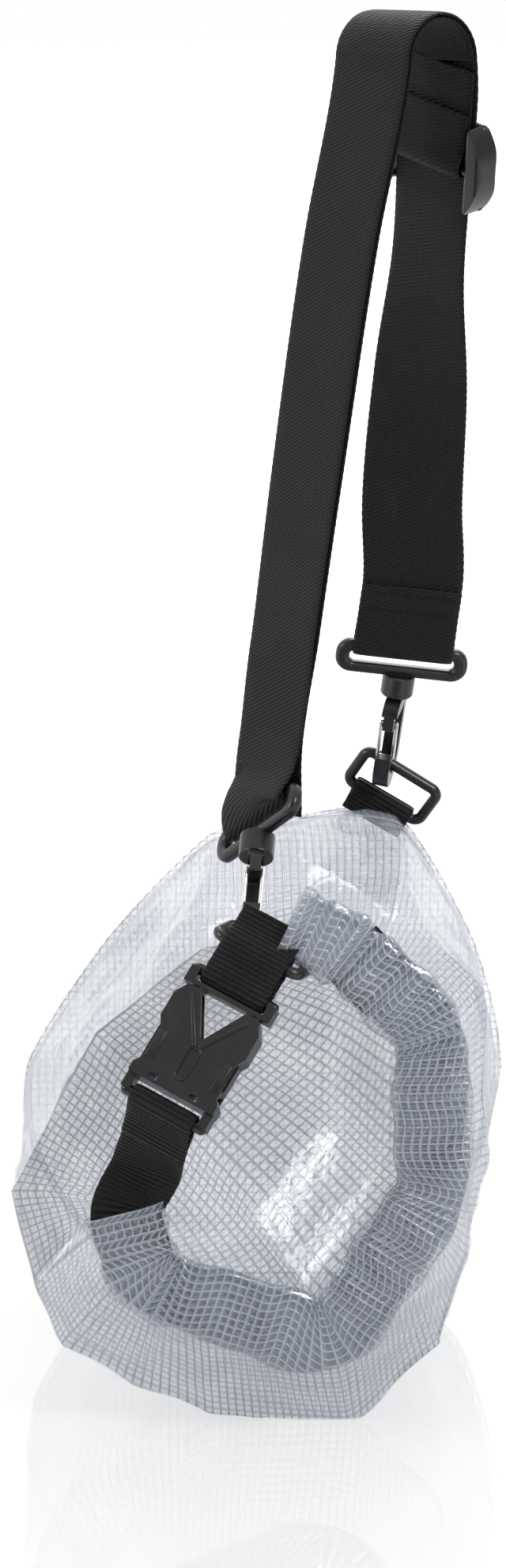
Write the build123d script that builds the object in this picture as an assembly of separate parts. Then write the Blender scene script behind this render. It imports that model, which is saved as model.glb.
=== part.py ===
"""A small clear dry bag lying on its side, rolled shut, with its shoulder strap pulled up.

Frame: +Z up, the bag rests on z = 0, its length runs along Y with the rolled mouth at -Y.
The origin is on the resting face, under the middle of the bag. Sizes are in millimetres.
"""

from build123d import *

import os
from math import cos, radians, sin

# ---- Bag film -------------------------------------------------------------------------------
film = 0.6  # reinforced film
front_y = -84.0  # where the walls turn in towards the mouth
rear_y = 110.0  # where the round bottom is welded on
bottom_flange = 3.0  # the bottom stands out round the wall by its weld
bottom_thick = 1.2
patch_thick = 1.2  # welded patch under the rear tab

# Outlines of the filled bag (X, Z): the round bottom, pulled up at its tab, and the folded front.
rear_outline = [
    (95, 84), (84, 134), (54, 184), (12, 181), (-22, 173), (-61, 138),
    (-88, 90), (-85, 50), (-60, 14), (-20, -4), (35, -4), (78, 26),
]
front_outline = [
    (82, 92), (80, 156), (50, 176), (16, 170), (-18, 174), (-56, 142),
    (-86, 84), (-76, 50), (-67, 28), (-16, 1), (34, -4), (66, 28),
]
outline_middle = (3.0, 92.0)

# ---- Rolled mouth ---------------------------------------------------------------------------
roll_route = [(-45, 86), (-38, 60), (28, 38), (63, 92), (62, 150), (31.5, 180.5)]  # X, Z
roll_corner = 16.0
roll_width = 28.0
roll_thick = 7.0
roll_y = -118.0
neck_thick = 1.2  # the two walls together
stiffener_width = 19.0
stiffener_thick = 1.0
stiffener_back = 2.2  # behind the middle of the roll
neck_left = -50.0  # the front fittings hang over the neck from here to neck_stop
tail_length = 24.0  # closure tape inside each end of the roll
tail_out = 25.0  # upper tape that lies folded over outside its end of the roll
neck_stop = 40.0  # the neck starts here, clear of the front fittings

# ---- Closure tape and strap webbing -----------------------------------------------------------
tape_width = 25.0
tape_thick = 1.5
strap_width = 38.0
strap_thick = 1.5
layer_gap = 0.35  # between the strap's two layers
bar_clear = 0.4  # between a bar and the webbing round it
fold_length = 20.0  # webbing that lies doubled next to a bar
tape_closed = 11.0  # where the two layers meet beyond a bar, for each kind of fold
strap_closed = 14.0
slider_closed = 9.0
tab_closed = 7.0
tab_length = 30.0
sewn_length = 26.0  # the strap's sewn end at its rear loop

# ---- Side-release buckle, along its own Z from the socket's tape bar ----------------------------
buckle_half = 17.0
buckle_thick = 10.0
buckle_wall = 1.6
buckle_bar = 4.0
socket_low = 5.4
socket_round = 0.8
horn_z = 42.0
horn_inside = 9.0
vee_z = 26.0
window_low, window_high = 11.0, 25.0
pocket_half = 13.8
plug_bar_z = 49.0
rail_thick = 1.8
rail_clear = 0.4  # between the rail and the tape round the bar
prong_half_thick = 2.8
prong_inside, prong_outside = 10.0, 13.0
barb_outside = 16.0
barb_low, barb_high = 12.5, 24.4
prong_tip = 10.5
prong_pivot_z = 41.3
knuckle_clear = 0.05

# ---- D-rings ----------------------------------------------------------------------------------
ring_wire = 4.2
ring_width = 36.4  # over the outside
ring_depth = 17.0  # base bar to outer bar
ring_corner = 3.3
ring_slack = 2.6  # between the ring and the bend of its hook

# ---- Snap hooks, hanging down their own -Z from the lower bar of the strap loop -----------------
loop_bar = 4.5
loop_slot = 4.8
loop_round = 1.8
loop_side = 1.0  # slot beyond each edge of the strap
boss_diameter = 12.5
boss_low = -10.0
head_diameter, head_high, head_thick = 8.0, -2.5, 1.8
stem_diameter = 5.2
swivel_clear = 0.08
hook_top = -10.6
hook_drop = 50.0
hook_half = 11.2
hook_limb = 5.2
hook_thick = 6.0
shoulder = 6.0
nose_height = 16.0
knuckle_low = -21.5  # end of the short leg that carries the gate
knuckle_thick = 4.0
gate_wire = 1.5
gate_pivot = (-8.6, -18.6)  # X, Z
gate_pin = 1.2  # how far each end goes into its hole

# ---- Slider -----------------------------------------------------------------------------------
slider_height = 33.0
slider_rail = 8.0
slider_curve = 23.0  # radius of each rail's outer edge
slider_bar = 3.2
rail_round = 2.0
slider_room = 0.3  # round the webbing


def unit(x, y, z):
    """A direction of length one."""
    return Vector(x, y, z).normalized()


def place(origin, x_axis, z_axis):
    """A local frame with its Z exact and its X as near as it can be."""
    z = Vector(*z_axis).normalized()
    x = Vector(*x_axis)
    return Plane(origin=origin, x_dir=(x - z * x.dot(z)).normalized(), z_dir=z)


def hinge_frame(origin, x_axis, z_axis):
    """A local frame with its X exact and its Z as near as it can be."""
    x = Vector(*x_axis).normalized()
    z = Vector(*z_axis)
    return Plane(origin=origin, x_dir=x, z_dir=(z - x * x.dot(z)).normalized())


# ---- Where the fittings lie ---------------------------------------------------------------------
buckle_plane = place(Vector(-30.6, -142.0, 128.0), (0.90, -0.30, -0.34), (0.505, 0.36, 0.785))
front_ring_plane = hinge_frame(
    buckle_plane.from_local_coords(Vector(0, 0, plug_bar_z + 14.0)), buckle_plane.x_dir, (0.35, 0.94, -0.02)
)
front_ring_hold = -10.0  # where the hook sits along the ring's outer bar
front_hook_axis = unit(0.08, 0.66, 0.745)
front_hook_turn = 150.0

rear_ring_ahead = 5.0  # of the round bottom
rear_ring_base = Vector(50.0, rear_y - rear_ring_ahead, 188.9 + ring_wire / 2)
rear_ring_plane = hinge_frame(rear_ring_base, (0.85, 0.0, -0.53), (0.45, -0.45, 0.77))
rear_ring_hold = -8.0
rear_hook_axis = unit(0.12, -0.35, 0.93)
rear_hook_turn = 78.0

hook_reach = hook_drop - hook_limb - ring_wire / 2 - ring_slack
loop_pitch = loop_bar + loop_slot


def hook_frame(ring_plane, hold, axis, across):
    """Frame of a strap loop whose hook holds its ring's outer bar."""
    held = ring_plane.from_local_coords(Vector(hold, 0, ring_depth))
    return place(held + axis * hook_reach, across, axis)


front_hook_plane = hook_frame(front_ring_plane, front_ring_hold, front_hook_axis, (0.54, -0.67, 0.50))
rear_hook_plane = hook_frame(rear_ring_plane, rear_ring_hold, rear_hook_axis, (1.0, 0.0, -0.02))
front_across = front_hook_plane.x_dir
rear_across = rear_hook_plane.x_dir
front_bar = front_hook_plane.from_local_coords(Vector(0, 0, loop_pitch))
rear_bar = rear_hook_plane.from_local_coords(Vector(0, 0, loop_pitch))

# The strap's arch, and the line between its two layers down each leg.
arch_middle = Vector(54.7, -5.0, 479.0)
arch_radius = 16.0
arch_across = unit(0.67, -0.74, 0.0)
arch_side = Vector(0, 0, 1).cross(arch_across)
arch_steps = 10
front_leg = [(31.5, -24.0, 417.8), (19.1, -42.0, 334.7), (11.2, -58.0, 278.0)]
front_turn = [(0.66, -0.75, 0.05), (0.63, -0.74, 0.16), (0.60, -0.73, 0.30)]
front_straight = 16.0  # the strap lies straight this far above the front bar
rear_turn = [(60.0, 0.2), (110.0, 0.55)]  # up the rear leg, and how far it has turned to the arch
straight_below_slider = 48.0
slider_below_arch = 36.0
half_gap = (strap_thick + layer_gap) / 2
bar_layer = loop_bar / 2 + bar_clear + strap_thick / 2


# ---- Shapes used more than once -----------------------------------------------------------------
def bar(start, end, diameter):
    """A round bar between two points, with ball ends."""
    a = Vector(*start)
    b = Vector(*end)
    along = Plane(origin=a, z_dir=b - a)
    rod = along * Cylinder(diameter / 2, (b - a).length, align=(Align.CENTER, Align.CENTER, Align.MIN))
    return rod + Pos(a.X, a.Y, a.Z) * Sphere(diameter / 2) + Pos(b.X, b.Y, b.Z) * Sphere(diameter / 2)


def chain(points, diameter):
    """Round bars through a list of points, as one piece."""
    piece = bar(points[0], points[1], diameter)
    for start, end in zip(points[1:], points[2:]):
        piece += bar(start, end, diameter)
    return piece


def block(x_low, x_high, y_low, y_high, z_low, z_high):
    """A box between two corners."""
    middle = Pos((x_low + x_high) / 2, (y_low + y_high) / 2, (z_low + z_high) / 2)
    return middle * Box(x_high - x_low, y_high - y_low, z_high - z_low)


def plate(points, thickness):
    """A flat part drawn in X and Z, with its thickness centred on Y."""
    outline = make_face(Polyline(*[(x, 0, z) for x, z in points], close=True))
    return extrude(outline, thickness / 2, dir=(0, 1, 0), both=True)


def upright(x, z, diameter, length):
    """A cylinder along Y, centred on it, at a place in X and Z."""
    return Pos(x, 0, z) * Rot(90, 0, 0) * Cylinder(diameter / 2, length)


def shifted(frame, distance):
    """A frame moved along its own Y."""
    return Plane(origin=frame.from_local_coords(Vector(0, distance, 0)), x_dir=frame.x_dir, z_dir=frame.z_dir)


def along_line(stations):
    """Frames along a line of stations, each a point and a direction across the band."""
    frames = []
    for index, (point, across) in enumerate(stations):
        before = stations[max(index - 1, 0)][0]
        after = stations[min(index + 1, len(stations) - 1)][0]
        frames.append(place(point, across, after - before))
    return frames


def band(frames, width, thickness):
    """A flat band through frames that lie across it."""
    return loft([frame * Rectangle(width, thickness) for frame in frames], ruled=True)


def fold(width, thickness, bar_size, clear, closed, run):
    """Webbing folded round a bar on X: its two layers meet at closed and run on up Z."""
    inside = bar_size / 2 + clear
    outside = inside + thickness
    spread = Polyline(
        (0, -outside, 0), (0, -thickness, closed), (0, -thickness, run),
        (0, thickness, run), (0, thickness, closed), (0, outside, 0), close=True,
    )
    drop = Polyline((0, -inside, 0), (0, 0, closed), (0, inside, 0), close=True)
    legs = extrude(make_face(spread), width / 2, dir=(1, 0, 0), both=True)
    legs -= extrude(make_face(drop), width / 2, dir=(1, 0, 0), both=True)
    turn = Rot(0, 90, 0) * (Cylinder(outside, width) - Cylinder(inside, width))
    turn -= block(-width, width, -2 * outside, 2 * outside, 0, 2 * outside)
    return legs + turn


# ---- Bag ----------------------------------------------------------------------------------------
def section(outline, y, grow):
    """A smooth closed outline of the bag at a place along it, grown or shrunk all round."""
    points = []
    for x, z in outline:
        out = Vector(x - outline_middle[0], 0, z - outline_middle[1])
        moved = Vector(x, y, z) + out.normalized() * grow
        points.append(moved)
    return make_face(Spline(*points, periodic=True))


def filled_bag(grow, front, rear):
    """The space the bag takes up between two places, resting flat on the ground."""
    body = loft([section(front_outline, front, grow), section(rear_outline, rear, grow)])
    return body & block(-200, 200, front, rear, max(-grow, 0.0), 300)


def roll_line(y):
    """The route of the rolled mouth, with its rounded corners."""
    return FilletPolyline(*[(x, y, z) for x, z in roll_route], radius=roll_corner)


def roll_sweep(width, thickness, y):
    """A strip that follows the rolled mouth."""
    line = roll_line(y)
    start = Plane(origin=line @ 0, x_dir=(0, 1, 0), z_dir=line % 0)
    return sweep(start * Rectangle(thickness, width), path=line)


def tail(first, second, outside):
    """Closure tape in one end of the roll, from one route point towards the next, and out of it."""
    start = Vector(first[0], roll_y, first[1])
    toward = Vector(second[0] - first[0], 0, second[1] - first[1]).normalized()
    frame = Plane(origin=start - toward * outside, x_dir=(0, 1, 0), z_dir=toward)
    middle = Align.CENTER
    return frame * Box(2 * tape_thick, tape_width, tail_length + outside, align=(middle, middle, Align.MIN))


neck_rear = front_y + film
neck_front = roll_y + roll_thick / 2
bag_space = filled_bag(0, front_y, rear_y)
bag_neck = roll_sweep(neck_thick, neck_rear - neck_front, (neck_rear + neck_front) / 2)
bag_neck -= block(neck_left, neck_stop, neck_front - 1, neck_rear + 1, roll_route[-2][1], 250)
bag_shell = bag_space - filled_bag(-film, front_y + film, rear_y) + bag_neck
bag_bottom = extrude(section(rear_outline, rear_y, bottom_flange), bottom_thick, dir=(0, 1, 0))
bag_bottom &= block(-200, 200, rear_y, rear_y + bottom_thick, 0, 300)

# ---- Rear tab -----------------------------------------------------------------------------------
tab_plane = place(rear_ring_plane.origin, rear_ring_plane.x_dir, (-0.50, -0.20, -0.84))
patch_half = 17.0
patch_rear = 1.0  # between the patch and the round bottom
under_patch = filled_bag(patch_thick, front_y, rear_y)
patch_box = Plane(
    origin=rear_ring_plane.origin + tab_plane.z_dir * 12.0, x_dir=tab_plane.x_dir, z_dir=tab_plane.z_dir
) * Box(2 * patch_half, 60, 40)
patch_box &= block(-200, 200, 0, rear_y - patch_rear, 0, 300)
rear_tab_patch = (under_patch - bag_space) & patch_box
rear_tab = tab_plane * fold(tape_width, tape_thick, ring_wire, bar_clear, tab_closed, tab_length) - under_patch


# ---- Buckle -------------------------------------------------------------------------------------
def buckle_socket():
    """The lower half: a flat pocket with two horns, side windows and a bar for its tape."""
    half = buckle_half
    waist = half - 1.6
    right = [
        (half, socket_low), (half, window_low - 2), (waist, window_low), (waist, window_high),
        (half, window_high + 2.5), (half, horn_z - 5), (half - 3, horn_z), (horn_inside, horn_z),
    ]
    body = plate(right + [(0, vee_z)] + [(-x, z) for x, z in reversed(right)], buckle_thick)
    body = fillet(body.edges().filter_by(Axis.Y), socket_round)
    pocket_thick = buckle_thick - 2 * buckle_wall
    body -= block(-pocket_half, pocket_half, -pocket_thick / 2, pocket_thick / 2, prong_tip - 1.5, horn_z + 1)
    body -= block(-half - 1, half + 1, -pocket_thick / 2, pocket_thick / 2, window_low, window_high)
    groove_deep = 0.6
    face = buckle_thick / 2
    body -= block(-1.5, 1.5, -face - 1, groove_deep - face, 12.0, 22.5)
    for side in (-1, 1):
        body -= block(side * 8 - 1.6, side * 8 + 1.6, -face - 1, face + 1, socket_low + 1.2, socket_low + 3.0)
        post = block(min(side * 13.6, side * half), max(side * 13.6, side * half), -3.2, 3.2, 0, socket_low + 0.6)
        body += post
    return buckle_plane * (body + bar((-half + 2, 0, 0), (half - 2, 0, 0), buckle_bar))


rail_high = plug_bar_z - ring_wire / 2 - bar_clear - tape_thick - rail_clear
plug_low = rail_high - rail_thick


def buckle_plug():
    """The upper half's frame: a tape bar, a cross rail and a seat for each prong."""
    half = buckle_half
    body = block(-half + 1, half - 1, -3.2, 3.2, plug_low, rail_high)
    for side in (-1, 1):
        body += block(*sorted((side * 13.6, side * half)), -3.2, 3.2, plug_low, plug_bar_z)
        body += block(*sorted((side * 8.6, side * 13.4)), -3.2, 3.2, prong_pivot_z, rail_high)
        body -= upright(side * prong_middle, prong_pivot_z, 2 * (prong_round + knuckle_clear), 8)
    body += bar((-half + 2, 0, plug_bar_z), (half - 2, 0, plug_bar_z), buckle_bar)
    return buckle_plane * body


prong_middle = (prong_inside + prong_outside) / 2
prong_round = (prong_outside - prong_inside) / 2


def prong(side):
    """One springy arm of the upper half, with its barb in the socket's window."""
    arm = plate([
        (side * prong_inside, prong_pivot_z), (side * prong_inside, prong_tip + 4),
        (side * (prong_inside + 1), prong_tip), (side * (prong_outside - 0.6), prong_tip),
        (side * (barb_outside - 1.2), barb_low), (side * barb_outside, barb_low + 2.4),
        (side * barb_outside, barb_high), (side * prong_outside, barb_high),
        (side * prong_outside, prong_pivot_z),
    ], 2 * prong_half_thick)
    root = upright(side * prong_middle, prong_pivot_z, 2 * prong_round, 2 * prong_half_thick)
    return buckle_plane * (arm + root)


def lower_tape():
    """Closure tape from the roll's lower end, twisting to the socket's bar and back on itself."""
    end = Vector(roll_route[0][0], roll_y, roll_route[0][1])
    frame = hinge_frame(buckle_plane.origin, buckle_plane.x_dir, end - buckle_plane.origin)
    tape = frame * fold(tape_width, tape_thick, buckle_bar, bar_clear, tape_closed, fold_length)
    start = frame.from_local_coords(Vector(0, 0, fold_length))
    first = Plane(origin=start, x_dir=frame.x_dir, z_dir=frame.z_dir)
    into_roll = Vector(roll_route[1][0] - end.X, 0, roll_route[1][1] - end.Z).normalized()
    across = into_roll.cross(Vector(0, 1, 0))
    last = Plane(origin=end + into_roll * 0.5, x_dir=across, z_dir=into_roll)
    middle = place((start + end) * 0.5, first.x_dir + last.x_dir, end - start)
    twist = band([first, middle, last], tape_width, 2 * tape_thick)
    return tape + twist + tail(roll_route[0], roll_route[1], 0)


def upper_tape():
    """Closure tape from the plug's bar, past the front D-ring, folded over into the roll."""
    inside = ring_wire / 2 + bar_clear
    outside = inside + tape_thick
    ring_z = buckle_plane.to_local_coords(front_ring_plane.origin).Z
    closed = ring_z + 8.0
    end = closed + 5.0
    legs = Polyline(
        (0, -outside, plug_bar_z), (0, -outside, ring_z), (0, -tape_thick, closed), (0, -tape_thick, end),
        (0, tape_thick, end), (0, tape_thick, closed), (0, outside, ring_z), (0, outside, plug_bar_z), close=True,
    )
    room = Polyline((0, -inside, plug_bar_z), (0, -inside, ring_z), (0, 0, closed), (0, inside, ring_z),
                    (0, inside, plug_bar_z), close=True)
    tape = extrude(make_face(legs), tape_width / 2, dir=(1, 0, 0), both=True)
    tape -= extrude(make_face(room), tape_width / 2, dir=(1, 0, 0), both=True)
    turn = Rot(0, 90, 0) * (Cylinder(outside, tape_width) - Cylinder(inside, tape_width))
    turn -= block(-tape_width, tape_width, -20, 20, 0, 20)
    return buckle_plane * (tape + Pos(0, 0, plug_bar_z) * turn) + tail(roll_route[-1], roll_route[-2], tail_out)


lower_webbing = lower_tape()
upper_webbing = upper_tape()
mouth_stiffener = roll_sweep(stiffener_width, stiffener_thick, roll_y + stiffener_back)
mouth_stiffener -= lower_webbing + upper_webbing
rolled_mouth = roll_sweep(roll_width, roll_thick, roll_y) - mouth_stiffener - lower_webbing - upper_webbing


# ---- Rings and hooks ----------------------------------------------------------------------------
def d_ring(plane):
    """A rounded ring with its base bar on X and its outer bar at ring_depth."""
    half = (ring_width - ring_wire) / 2
    line = FilletPolyline(
        (-half, 0, 0), (-half, 0, ring_depth), (half, 0, ring_depth), (half, 0, 0),
        radius=ring_corner, close=True,
    )
    start = Plane(origin=line @ 0, z_dir=line % 0)
    return plane * sweep(start * Circle(ring_wire / 2), path=line)


def strap_loop(plane):
    """The slot that the strap goes through, with the hollow boss that the hook turns in."""
    slot = strap_width + 2 * loop_side
    wide = slot + 2 * loop_bar + 1.6
    frame = Pos(0, 0, loop_pitch / 2) * Rot(90, 0, 0) * (
        extrude(RectangleRounded(wide, loop_pitch + loop_bar, 6.2), loop_bar / 2, both=True)
        - extrude(RectangleRounded(slot, loop_slot, 2.0), loop_bar, both=True)
    )
    frame = fillet(frame.edges(), loop_round)
    boss_high = -loop_bar / 2 + 1.2
    boss = Pos(0, 0, (boss_low + boss_high) / 2) * Cylinder(boss_diameter / 2, boss_high - boss_low)
    body = frame + fillet(boss.edges().sort_by(Axis.Z)[0], 0.8)
    bore = stem_diameter / 2 + swivel_clear
    body -= Pos(0, 0, -9) * Cylinder(bore, 10)
    recess = head_thick + 2 * swivel_clear
    body -= Pos(0, 0, head_high - head_thick / 2) * Cylinder(head_diameter / 2 + swivel_clear, recess)
    return plane * body


def hook_turned(plane, turn):
    """Frame of a hook, turned in its swivel."""
    return plane * Plane(Location((0, 0, 0), (0, 0, turn)))


def hook(plane, turn):
    """A swivelling hook: its spine on +X, its nose and its gate's short leg on -X."""
    inner = hook_half - hook_limb
    bend_z = hook_limb + inner - hook_drop
    shape = Pos(0, (hook_top - hook_drop) / 2) * RectangleRounded(2 * hook_half, hook_top + hook_drop, shoulder)
    outside = shape & (Pos(0, bend_z + 50) * Rectangle(60, 100) + Pos(0, bend_z) * Circle(hook_half))
    opening_top = hook_top - shoulder
    opening = Pos(0, (opening_top + bend_z) / 2) * Rectangle(2 * inner, opening_top - bend_z)
    opening += Pos(0, bend_z) * Circle(inner)
    gap_low = nose_height - hook_drop
    gap = Pos(-hook_half, (knuckle_low + gap_low) / 2) * Rectangle(2 * hook_limb + 1, knuckle_low - gap_low)
    profile = outside - opening - gap
    body = Rot(90, 0, 0) * extrude(profile, hook_thick / 2, both=True)
    body = fillet(body.edges().filter_by(GeomType.LINE).filter_by(Axis.Y), 0.8)
    for side in (-1, 1):
        low, high = sorted((side * knuckle_thick / 2, side * hook_thick))
        body -= block(-hook_half - 1, -inner + 0.6, low, high, knuckle_low - 1, opening_top + 1.2)
    body -= upright(*gate_pivot, gate_wire + 2 * swivel_clear, hook_thick)
    stem_top = head_high - head_thick
    body += Pos(0, 0, (hook_top - 1 + stem_top) / 2) * Cylinder(stem_diameter / 2, stem_top - hook_top + 1)
    body += Pos(0, 0, head_high - head_thick / 2) * Cylinder(head_diameter / 2, head_thick)
    return hook_turned(plane, turn) * body


def gate(plane, turn):
    """The sprung wire that closes a hook, hinged in the short leg and resting inside the nose."""
    inner = hook_half - hook_limb
    side = knuckle_thick / 2 + swivel_clear * 3 + gate_wire / 2
    pin = knuckle_thick / 2 - gate_pin + gate_wire / 2
    x, z = gate_pivot
    foot_x = -inner + gate_wire / 2 + 0.25
    foot_z = nose_height - hook_drop - gate_wire
    wire = chain([(x, -pin, z), (x, -side, z), (foot_x, -side, foot_z), (foot_x, side, foot_z),
                  (x, side, z), (x, pin, z)], gate_wire)
    return hook_turned(plane, turn) * wire


# ---- Strap --------------------------------------------------------------------------------------
def arch_station(angle):
    """A place on the strap's arch, by the angle from its rear side."""
    out = arch_side * cos(radians(angle)) + Vector(0, 0, 1) * sin(radians(angle))
    return (arch_middle + out * arch_radius, arch_across)


arch_rear = arch_middle + arch_side * arch_radius
rear_leg_axis = (arch_rear - rear_bar).normalized()
front_leg_axis = (Vector(*front_leg[-1]) - front_bar).normalized()
leg_plane = place(arch_rear - rear_leg_axis * slider_below_arch, arch_across, rear_leg_axis)
slider_plane = Plane(
    origin=leg_plane.from_local_coords(Vector(0, half_gap, 0)), x_dir=leg_plane.x_dir, z_dir=leg_plane.z_dir
)


arch_stations = [arch_station(180 * step / arch_steps) for step in range(arch_steps + 1)]
front_stations = [(Vector(*point), Vector(*across)) for point, across in zip(front_leg, front_turn)]
front_stations.append((front_bar + front_leg_axis * front_straight, front_across + Vector(*front_turn[-1])))
front_turn_frame = hinge_frame(front_bar, front_across, front_leg_axis)
front_end = Plane(origin=front_bar, x_dir=front_across, z_dir=front_turn_frame.z_dir * -1.0)


def strap_outer_run():
    """The strap's long run: sewn round the rear bar, up, over the arch and down round the front bar."""
    start = hinge_frame(rear_bar, rear_across, rear_leg_axis)
    end = start.from_local_coords(Vector(0, 0, sewn_length - 1.0))
    first = Plane(origin=end, x_dir=start.x_dir, z_dir=start.z_dir)
    rear = [
        (rear_bar + rear_leg_axis * above_bar, rear_across * (1 - turned) + arch_across * turned)
        for above_bar, turned in rear_turn
    ]
    rear += [(leg_plane.origin - rear_leg_axis * straight_below_slider, arch_across), (leg_plane.origin, arch_across)]
    frames = [first] + along_line(rear + arch_stations + front_stations)
    run = band([shifted(frame, half_gap) for frame in frames] + [shifted(front_end, bar_layer)],
               strap_width, strap_thick)
    sewn = start * fold(strap_width, strap_thick, loop_bar, bar_clear, strap_closed, sewn_length)
    return sewn + run + front_turn_round()


def front_turn_round():
    """The half turn of the strap below the bar of the front loop."""
    inside = bar_layer - strap_thick / 2
    turn = Rot(0, 90, 0) * (Cylinder(inside + strap_thick, strap_width) - Cylinder(inside, strap_width))
    return front_turn_frame * (turn - block(-strap_width, strap_width, -20, 20, 0, 20))


def strap_inner_run():
    """The strap's short run, back up the front leg under the long run and over the arch."""
    start = (leg_plane.origin + rear_leg_axis * fold_length, arch_across)
    frames = along_line([start] + arch_stations + front_stations)
    return band([shifted(frame, -half_gap) for frame in frames] + [shifted(front_end, -bar_layer)],
                strap_width, strap_thick)


fold_out = strap_thick / 2 + slider_room + strap_thick + slider_room + slider_bar / 2


def slider():
    """A three-bar slider: outer bars behind the long run, middle bar in front of it."""
    back = strap_thick / 2 + slider_room + slider_bar / 2
    inside = strap_width / 2 + loop_side
    outer_z = (slider_height - slider_bar) / 2
    body = bar((-inside - 1, -fold_out, 0), (inside + 1, -fold_out, 0), slider_bar)
    for side in (-1, 1):
        body += bar((-inside - 1, back, side * outer_z), (inside + 1, back, side * outer_z), slider_bar)
        rail = Box(slider_rail, back + fold_out + slider_bar, slider_height)
        rail = fillet(rail.edges(), rail_round)
        curve = Pos(side * (slider_rail / 2 - slider_curve), 0, 0) * Rot(90, 0, 0) * Cylinder(slider_curve, 40)
        body += Pos(side * (inside + slider_rail / 2), (back - fold_out) / 2, 0) * (rail & curve)
    return slider_plane * body


def slider_fold():
    """The end of the short run, sewn round the slider's middle bar."""
    lean = Vector(0, fold_out - 2 * half_gap - strap_thick / 2, fold_length).normalized()
    frame = Plane(origin=(0, -fold_out, 0), x_dir=(1, 0, 0), z_dir=lean)
    length = fold_length / lean.Z
    return slider_plane * frame * fold(strap_width, strap_thick, slider_bar, slider_room, slider_closed, length)


parts = {
    "bag_shell": bag_shell,
    "bag_bottom": bag_bottom,
    "rolled_mouth": rolled_mouth,
    "mouth_stiffener": mouth_stiffener,
    "lower_webbing": lower_webbing,
    "upper_webbing": upper_webbing,
    "buckle_socket": buckle_socket(),
    "buckle_plug": buckle_plug(),
    "left_prong": prong(-1),
    "right_prong": prong(1),
    "front_d_ring": d_ring(front_ring_plane),
    "rear_d_ring": d_ring(rear_ring_plane),
    "rear_tab": rear_tab,
    "rear_tab_patch": rear_tab_patch,
    "front_strap_loop": strap_loop(front_hook_plane),
    "rear_strap_loop": strap_loop(rear_hook_plane),
    "front_hook": hook(front_hook_plane, front_hook_turn),
    "rear_hook": hook(rear_hook_plane, rear_hook_turn),
    "front_gate": gate(front_hook_plane, front_hook_turn),
    "rear_gate": gate(rear_hook_plane, rear_hook_turn),
    "strap_outer_run": strap_outer_run(),
    "strap_inner_run": strap_inner_run(),
    "slider": slider(),
    "slider_fold": slider_fold(),
}

os.makedirs("parts", exist_ok=True)
for name, solid in parts.items():
    export_step(solid, f"parts/{name}.step")
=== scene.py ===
"""A small clear dry bag on its side, its mouth rolled and clipped in a ring, its strap held up.

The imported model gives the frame: metres, +Z up, the bag resting on z = 0, its mouth at -Y.
The moulded fittings keep their own shapes; film, webbing and stitching are made here.
"""

import logging
import math
from dataclasses import dataclass, field
from enum import Enum
from typing import Any, Sequence

import bmesh
import bpy
import numpy as np
from mathutils import Matrix, Vector, noise


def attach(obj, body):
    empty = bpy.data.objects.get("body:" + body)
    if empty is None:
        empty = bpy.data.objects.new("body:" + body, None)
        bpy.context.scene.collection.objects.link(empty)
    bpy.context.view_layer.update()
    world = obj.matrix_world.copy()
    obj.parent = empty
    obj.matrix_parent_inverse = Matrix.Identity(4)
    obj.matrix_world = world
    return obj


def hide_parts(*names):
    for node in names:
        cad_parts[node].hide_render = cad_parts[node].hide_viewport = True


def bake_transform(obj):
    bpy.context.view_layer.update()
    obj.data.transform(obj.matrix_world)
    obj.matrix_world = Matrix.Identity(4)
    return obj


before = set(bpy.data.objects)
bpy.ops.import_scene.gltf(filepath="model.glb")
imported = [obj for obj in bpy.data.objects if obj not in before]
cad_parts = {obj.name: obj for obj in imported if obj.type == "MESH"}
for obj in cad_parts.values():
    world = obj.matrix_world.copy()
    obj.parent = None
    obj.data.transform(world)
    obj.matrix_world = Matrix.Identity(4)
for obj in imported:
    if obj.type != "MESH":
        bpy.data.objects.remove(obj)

logging.basicConfig(level=logging.INFO, format="%(message)s")
log = logging.getLogger("dry_bag")

MM = 0.001
TURN = 2.0 * math.pi
CORNERS = 12  # corners in each of the bag's outlines
Colour = tuple[float, float, float]
Station = tuple[Vector, Vector]


def mm(x: float, y: float, z: float) -> Vector:
    """A point or offset given in millimetres."""
    return Vector((x, y, z)) * MM


def smoothstep(low: float, high: float, value: np.ndarray) -> np.ndarray:
    """Rises smoothly from 0 at low to 1 at high.

    Args:
        low: Where the rise starts.
        high: Where it ends.
        value: The values to map.

    Returns:
        The mapped values.
    """
    t = np.clip((value - low) / (high - low), 0.0, 1.0)
    return t * t * (3.0 - 2.0 * t)


@dataclass(frozen=True)
class Frame:
    """A local frame of a fitting: its origin, its X along a bar and its Z along the fitting."""

    origin: Vector
    x: Vector
    z: Vector

    @property
    def y(self) -> Vector:
        """The frame's third direction."""
        return self.z.cross(self.x)

    def at(self, x: float, y: float, z: float) -> Vector:
        """A point of the frame, from local metres."""
        return self.origin + self.x * x + self.y * y + self.z * z


def placed(origin: Vector, x_axis: Vector, z_axis: Vector) -> Frame:
    """A frame with its Z exact and its X as near as it can be.

    Args:
        origin: Where it is.
        x_axis: The wanted X.
        z_axis: The exact Z.

    Returns:
        The frame.
    """
    z = z_axis.normalized()
    return Frame(origin, (x_axis - z * x_axis.dot(z)).normalized(), z)


def hinged(origin: Vector, x_axis: Vector, z_axis: Vector) -> Frame:
    """A frame with its X exact and its Z as near as it can be.

    Args:
        origin: Where it is.
        x_axis: The exact X.
        z_axis: The wanted Z.

    Returns:
        The frame.
    """
    x = x_axis.normalized()
    return Frame(origin, x, (z_axis - x * z_axis.dot(x)).normalized())


# ---- Shader nodes ---------------------------------------------------------------------------


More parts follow.
